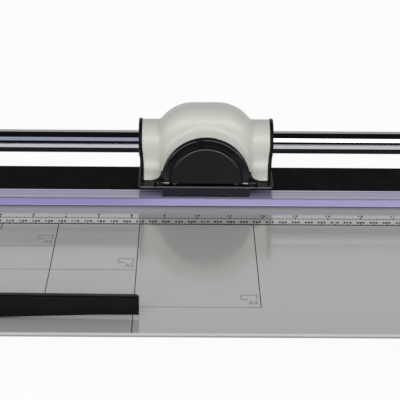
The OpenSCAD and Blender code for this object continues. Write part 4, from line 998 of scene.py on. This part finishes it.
def make_ends():
    """End covers with their aprons and screw sinks, and the brackets inside them."""
    for side, word in ((-1, "left"), (1, "right")):
        cap = slab("cap", end_loop(0), "x", *across(side, *CAP_X), *rims(side, *CAP_RIMS), steps=6)
        sinks = [slab("sink", circle((y, SINK_Z), SINK_R, 48), "x", *across(side, *SINK_X))
                 for y in SINK_YS]
        cap = carve(cap, *sinks)
        apron = slab("apron", rounded(APRON), "x", *across(side, *APRON_X), 0.3, 0.3)
        cover = join(word + "_end_cap", [cap, apron], "shell_cream")
        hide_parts(word + "_end_cover")
        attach(cover, "base")
        cheek = slab(word + "_upright", end_loop(BRACKET_IN), "x", *across(side, *BRACKET_X),
                     *rims(side, *BRACKET_RIMS))
        reach = across(side, *WAY_X)
        cheek = carve(cheek, block("tongue_way", (reach[0], WAY_Y[0], WAY_Z[0]),
                                   (reach[1], WAY_Y[1], WAY_Z[1])))
        cheek.data.materials.append(bpy.data.materials["bracket_black"])
        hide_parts(word + "_bracket")
        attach(cheek, "base")


# Print on the board; u is the depth in front of the cutting line, s the scale's reading

BOX_FACES = [(3, 2, 1, 0), (4, 5, 6, 7), (0, 1, 5, 4), (1, 2, 6, 5), (2, 3, 7, 6), (3, 0, 4, 7)]
SCALE_U, SCALE_HALF, INCH_U, INCH_HALF = 61.8, 0.8, 49.8, 0.35
SCALE_END, INCH = 560, 25.4
NUMBER_U, INCH_NUMBER_U = 58.4, 4.2
TICK_HALF, TEN_HALF, INCH_TICK_HALF = 0.23, 0.36, 0.5

# Marks of the scales: every how many, and their length
MM_TICKS = [(10, 2.9), (5, 2.2), (1, 1.4)]
INCH_TICKS = [(16, 3.4), (8, 2.6), (4, 2.0), (2, 1.4), (1, 0.9)]

FORMATS = [("A7", 74, 105), ("A6", 105, 148), ("A5", 148, 210), ("A4", 210, 297)]
FRONT_U, ARM_U = 249.4, 226.0
FORMAT_ENDS = {"A6": ARM_U, "A5": FRONT_U}
LINE_HALF, PALE_HALF, PALE_START, NAME_LEFT, NAME_UP = 0.3, 0.2, 0.5, 2.8, 4.4
TAG_RIGHT, TAG_LOW, TAG_WIDE, TAG_HIGH, TAG_FOOT = 2.2, 12.6, 11.4, 7.4, 5.0
TAG_BAR, TAG_POST = 0.5, 0.35


def glyph_shapes(letters, weight):
    """Flat outlines of single letters, height 1, as points and faces."""
    shapes = {}
    for letter in letters:
        text = bpy.data.curves.new("glyph", "FONT")
        text.body = letter
        text.extrude = 0.01
        text.offset = weight
        obj = bpy.data.objects.new("glyph", text)
        scene.collection.objects.link(obj)
        mesh = evaluated_mesh(obj)
        pts = np.array([v.co for v in mesh.vertices])
        low, high = pts.min(0), pts.max(0)
        pts[:, 0] -= (low[0] + high[0]) / 2
        pts[:, 1] -= low[1]
        pts[:, :2] /= high[1] - low[1]
        shapes[letter] = (pts, [tuple(f.vertices) for f in mesh.polygons])
        bpy.data.objects.remove(obj)
        bpy.data.meshes.remove(mesh)
        bpy.data.curves.remove(text)
    return shapes


class Print:
    """Thin marks gathered into one mesh."""

    sunk, proud = 0.02, 0.03

    def __init__(self):
        self.verts, self.faces = [], []

    def add(self, pts, faces):
        start = len(self.verts)
        self.verts += [tuple(p) for p in pts]
        self.faces += [tuple(start + i for i in f) for f in faces]

    def bar(self, s0, s1, u0, u1):
        x0, x1, y0, y1 = ZERO_X + s0, ZERO_X + s1, CUT_Y - u1, CUT_Y - u0
        low, high = BOARD_Z - self.sunk, BOARD_Z + self.proud
        outline = ((x0, y0), (x1, y0), (x1, y1), (x0, y1))
        self.add([(x, y, z) for z in (low, high) for x, y in outline], BOX_FACES)

    def word(self, word, s, u, height, width, step, shapes):
        """Letters centred on s with their foot at depth u."""
        for i, letter in enumerate(word):
            pts, faces = shapes[letter]
            out = np.zeros(pts.shape)
            out[:, 0] = ZERO_X + s + (i - (len(word) - 1) / 2) * step + pts[:, 0] * width
            out[:, 1] = CUT_Y - u + pts[:, 1] * height
            out[:, 2] = np.where(pts[:, 2] > 0, BOARD_Z + self.proud, BOARD_Z - self.sunk)
            self.add(out, faces)

    def done(self, name, material):
        obj = new_object(name, self.verts, self.faces, material)
        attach(obj, "base")


def tick_length(i, ticks):
    """Length of the mark at step i of a scale."""
    return next(length for every, length in ticks if i % every == 0)


def make_scale(bold):
    """Scale in millimetres, and the one in inches behind it."""
    ink = Print()
    ink.bar(0, SCALE_END, SCALE_U - SCALE_HALF, SCALE_U + SCALE_HALF)
    ink.bar(0, SCALE_END, INCH_U - INCH_HALF, INCH_U + INCH_HALF)
    for s in range(SCALE_END + 1):
        half = TEN_HALF if s % 10 == 0 else TICK_HALF
        ink.bar(s - half, s + half, SCALE_U - tick_length(s, MM_TICKS), SCALE_U)
        if s % 10 == 0 and s:
            ink.word(str(s), s, NUMBER_U, height=3.9, width=2.7, step=2.25, shapes=bold)
    for i in range(int(SCALE_END / INCH * 16) + 1):
        s = i * INCH / 16
        half = INCH_TICK_HALF if i % 16 == 0 else TICK_HALF
        ink.bar(s - half, s + half, INCH_U - tick_length(i, INCH_TICKS), INCH_U)
        if i % 16 == 0 and i:
            ink.word(str(i // 16), s, INCH_U - INCH_NUMBER_U, height=3.6, width=2.6, step=2.5,
                     shapes=bold)
    ink.done("scale_print", "print_ink")


def make_formats(fine):
    """Lines of the paper formats, each with its name and a small tag at its corner."""
    lines, pale = Print(), Print()
    for name, short, long in FORMATS:
        lines.bar(long - LINE_HALF, long + LINE_HALF, SCALE_U, FORMAT_ENDS.get(name, short))
        pale.bar(PALE_START, long, short - PALE_HALF, short + PALE_HALF)
        right, low = long - TAG_RIGHT, short - TAG_LOW
        left, high = right - TAG_WIDE, low - TAG_HIGH
        pale.bar(left, right, high, high + TAG_BAR)
        pale.bar(left, left + TAG_FOOT, low - TAG_BAR, low)
        pale.bar(left, left + TAG_POST, high, low)
        pale.bar(right - TAG_POST, right, high, low)
        pale.word(name, right - NAME_LEFT, short - NAME_UP, height=6.6, width=3.6, step=3.3,
                  shapes=fine)
    lines.done("format_lines", "print_ink")
    pale.done("format_marks", "print_pale")


# CAD pieces that stay, by the width of their rounded edges

BEVELS = {
    0.5: ["table_top", "front_bar", "left_bar", "right_bar", "left_cross_bar", "right_cross_bar",
          "backstop_knob"],
    0.35: ["clamp_bar", "side_fence"],
    1.2: ["front_left_foot", "front_right_foot", "rear_left_foot", "rear_right_foot"],
    0.6: ["left_buffer", "right_buffer"],
    0.25: ["knife_screws", "bracket_screws", "end_cover_screws", "rail_bolts", "foot_screws",
           "cover_screws", "hub_ring", "wheel_hub", "axle_nut", "axle_spacer", "wheel_axle",
           "axle_holder", "clamping_bolt", "holder_screws", "shoe_screws", "fixed_knife",
           "rear_beam"],
}
WELD_REACH, FLAT_ANGLE, BEVEL_ANGLE = 1e-6, 0.6, 32


def round_edges(name, width):
    """Rounded edges on a CAD node, by modifiers alone."""
    obj = nodes[name]
    weld = obj.modifiers.new("weld", "WELD")
    weld.merge_threshold = WELD_REACH
    flat = obj.modifiers.new("flat", "DECIMATE")
    flat.decimate_type = "DISSOLVE"
    flat.angle_limit = math.radians(FLAT_ANGLE)
    bevel = obj.modifiers.new("bevel", "BEVEL")
    bevel.width = width * MM
    bevel.segments = 3
    bevel.limit_method = "ANGLE"
    bevel.angle_limit = math.radians(BEVEL_ANGLE)
    bevel.use_clamp_overlap = True
    weighted = obj.modifiers.new("normals", "WEIGHTED_NORMAL")
    weighted.keep_sharp = True


make_camera()
make_world()
make_floor()
for card in CARDS:
    make_card(*card)
area_light("key", place=(0.0, -1.89, 1.0), target=(0.0, 0.05, 0.05), width=3.4, height=1.4,
           radiance=2.78)
make_materials()
for width, names in BEVELS.items():
    for name in names:
        round_edges(name, width)
make_cover()
make_frame()
make_guard()
make_shoe()
make_arm()
make_ends()
make_scale(glyph_shapes("0123456789", 0.08))
make_formats(glyph_shapes("A4567", -0.02))

scene.view_settings.view_transform = "Standard"
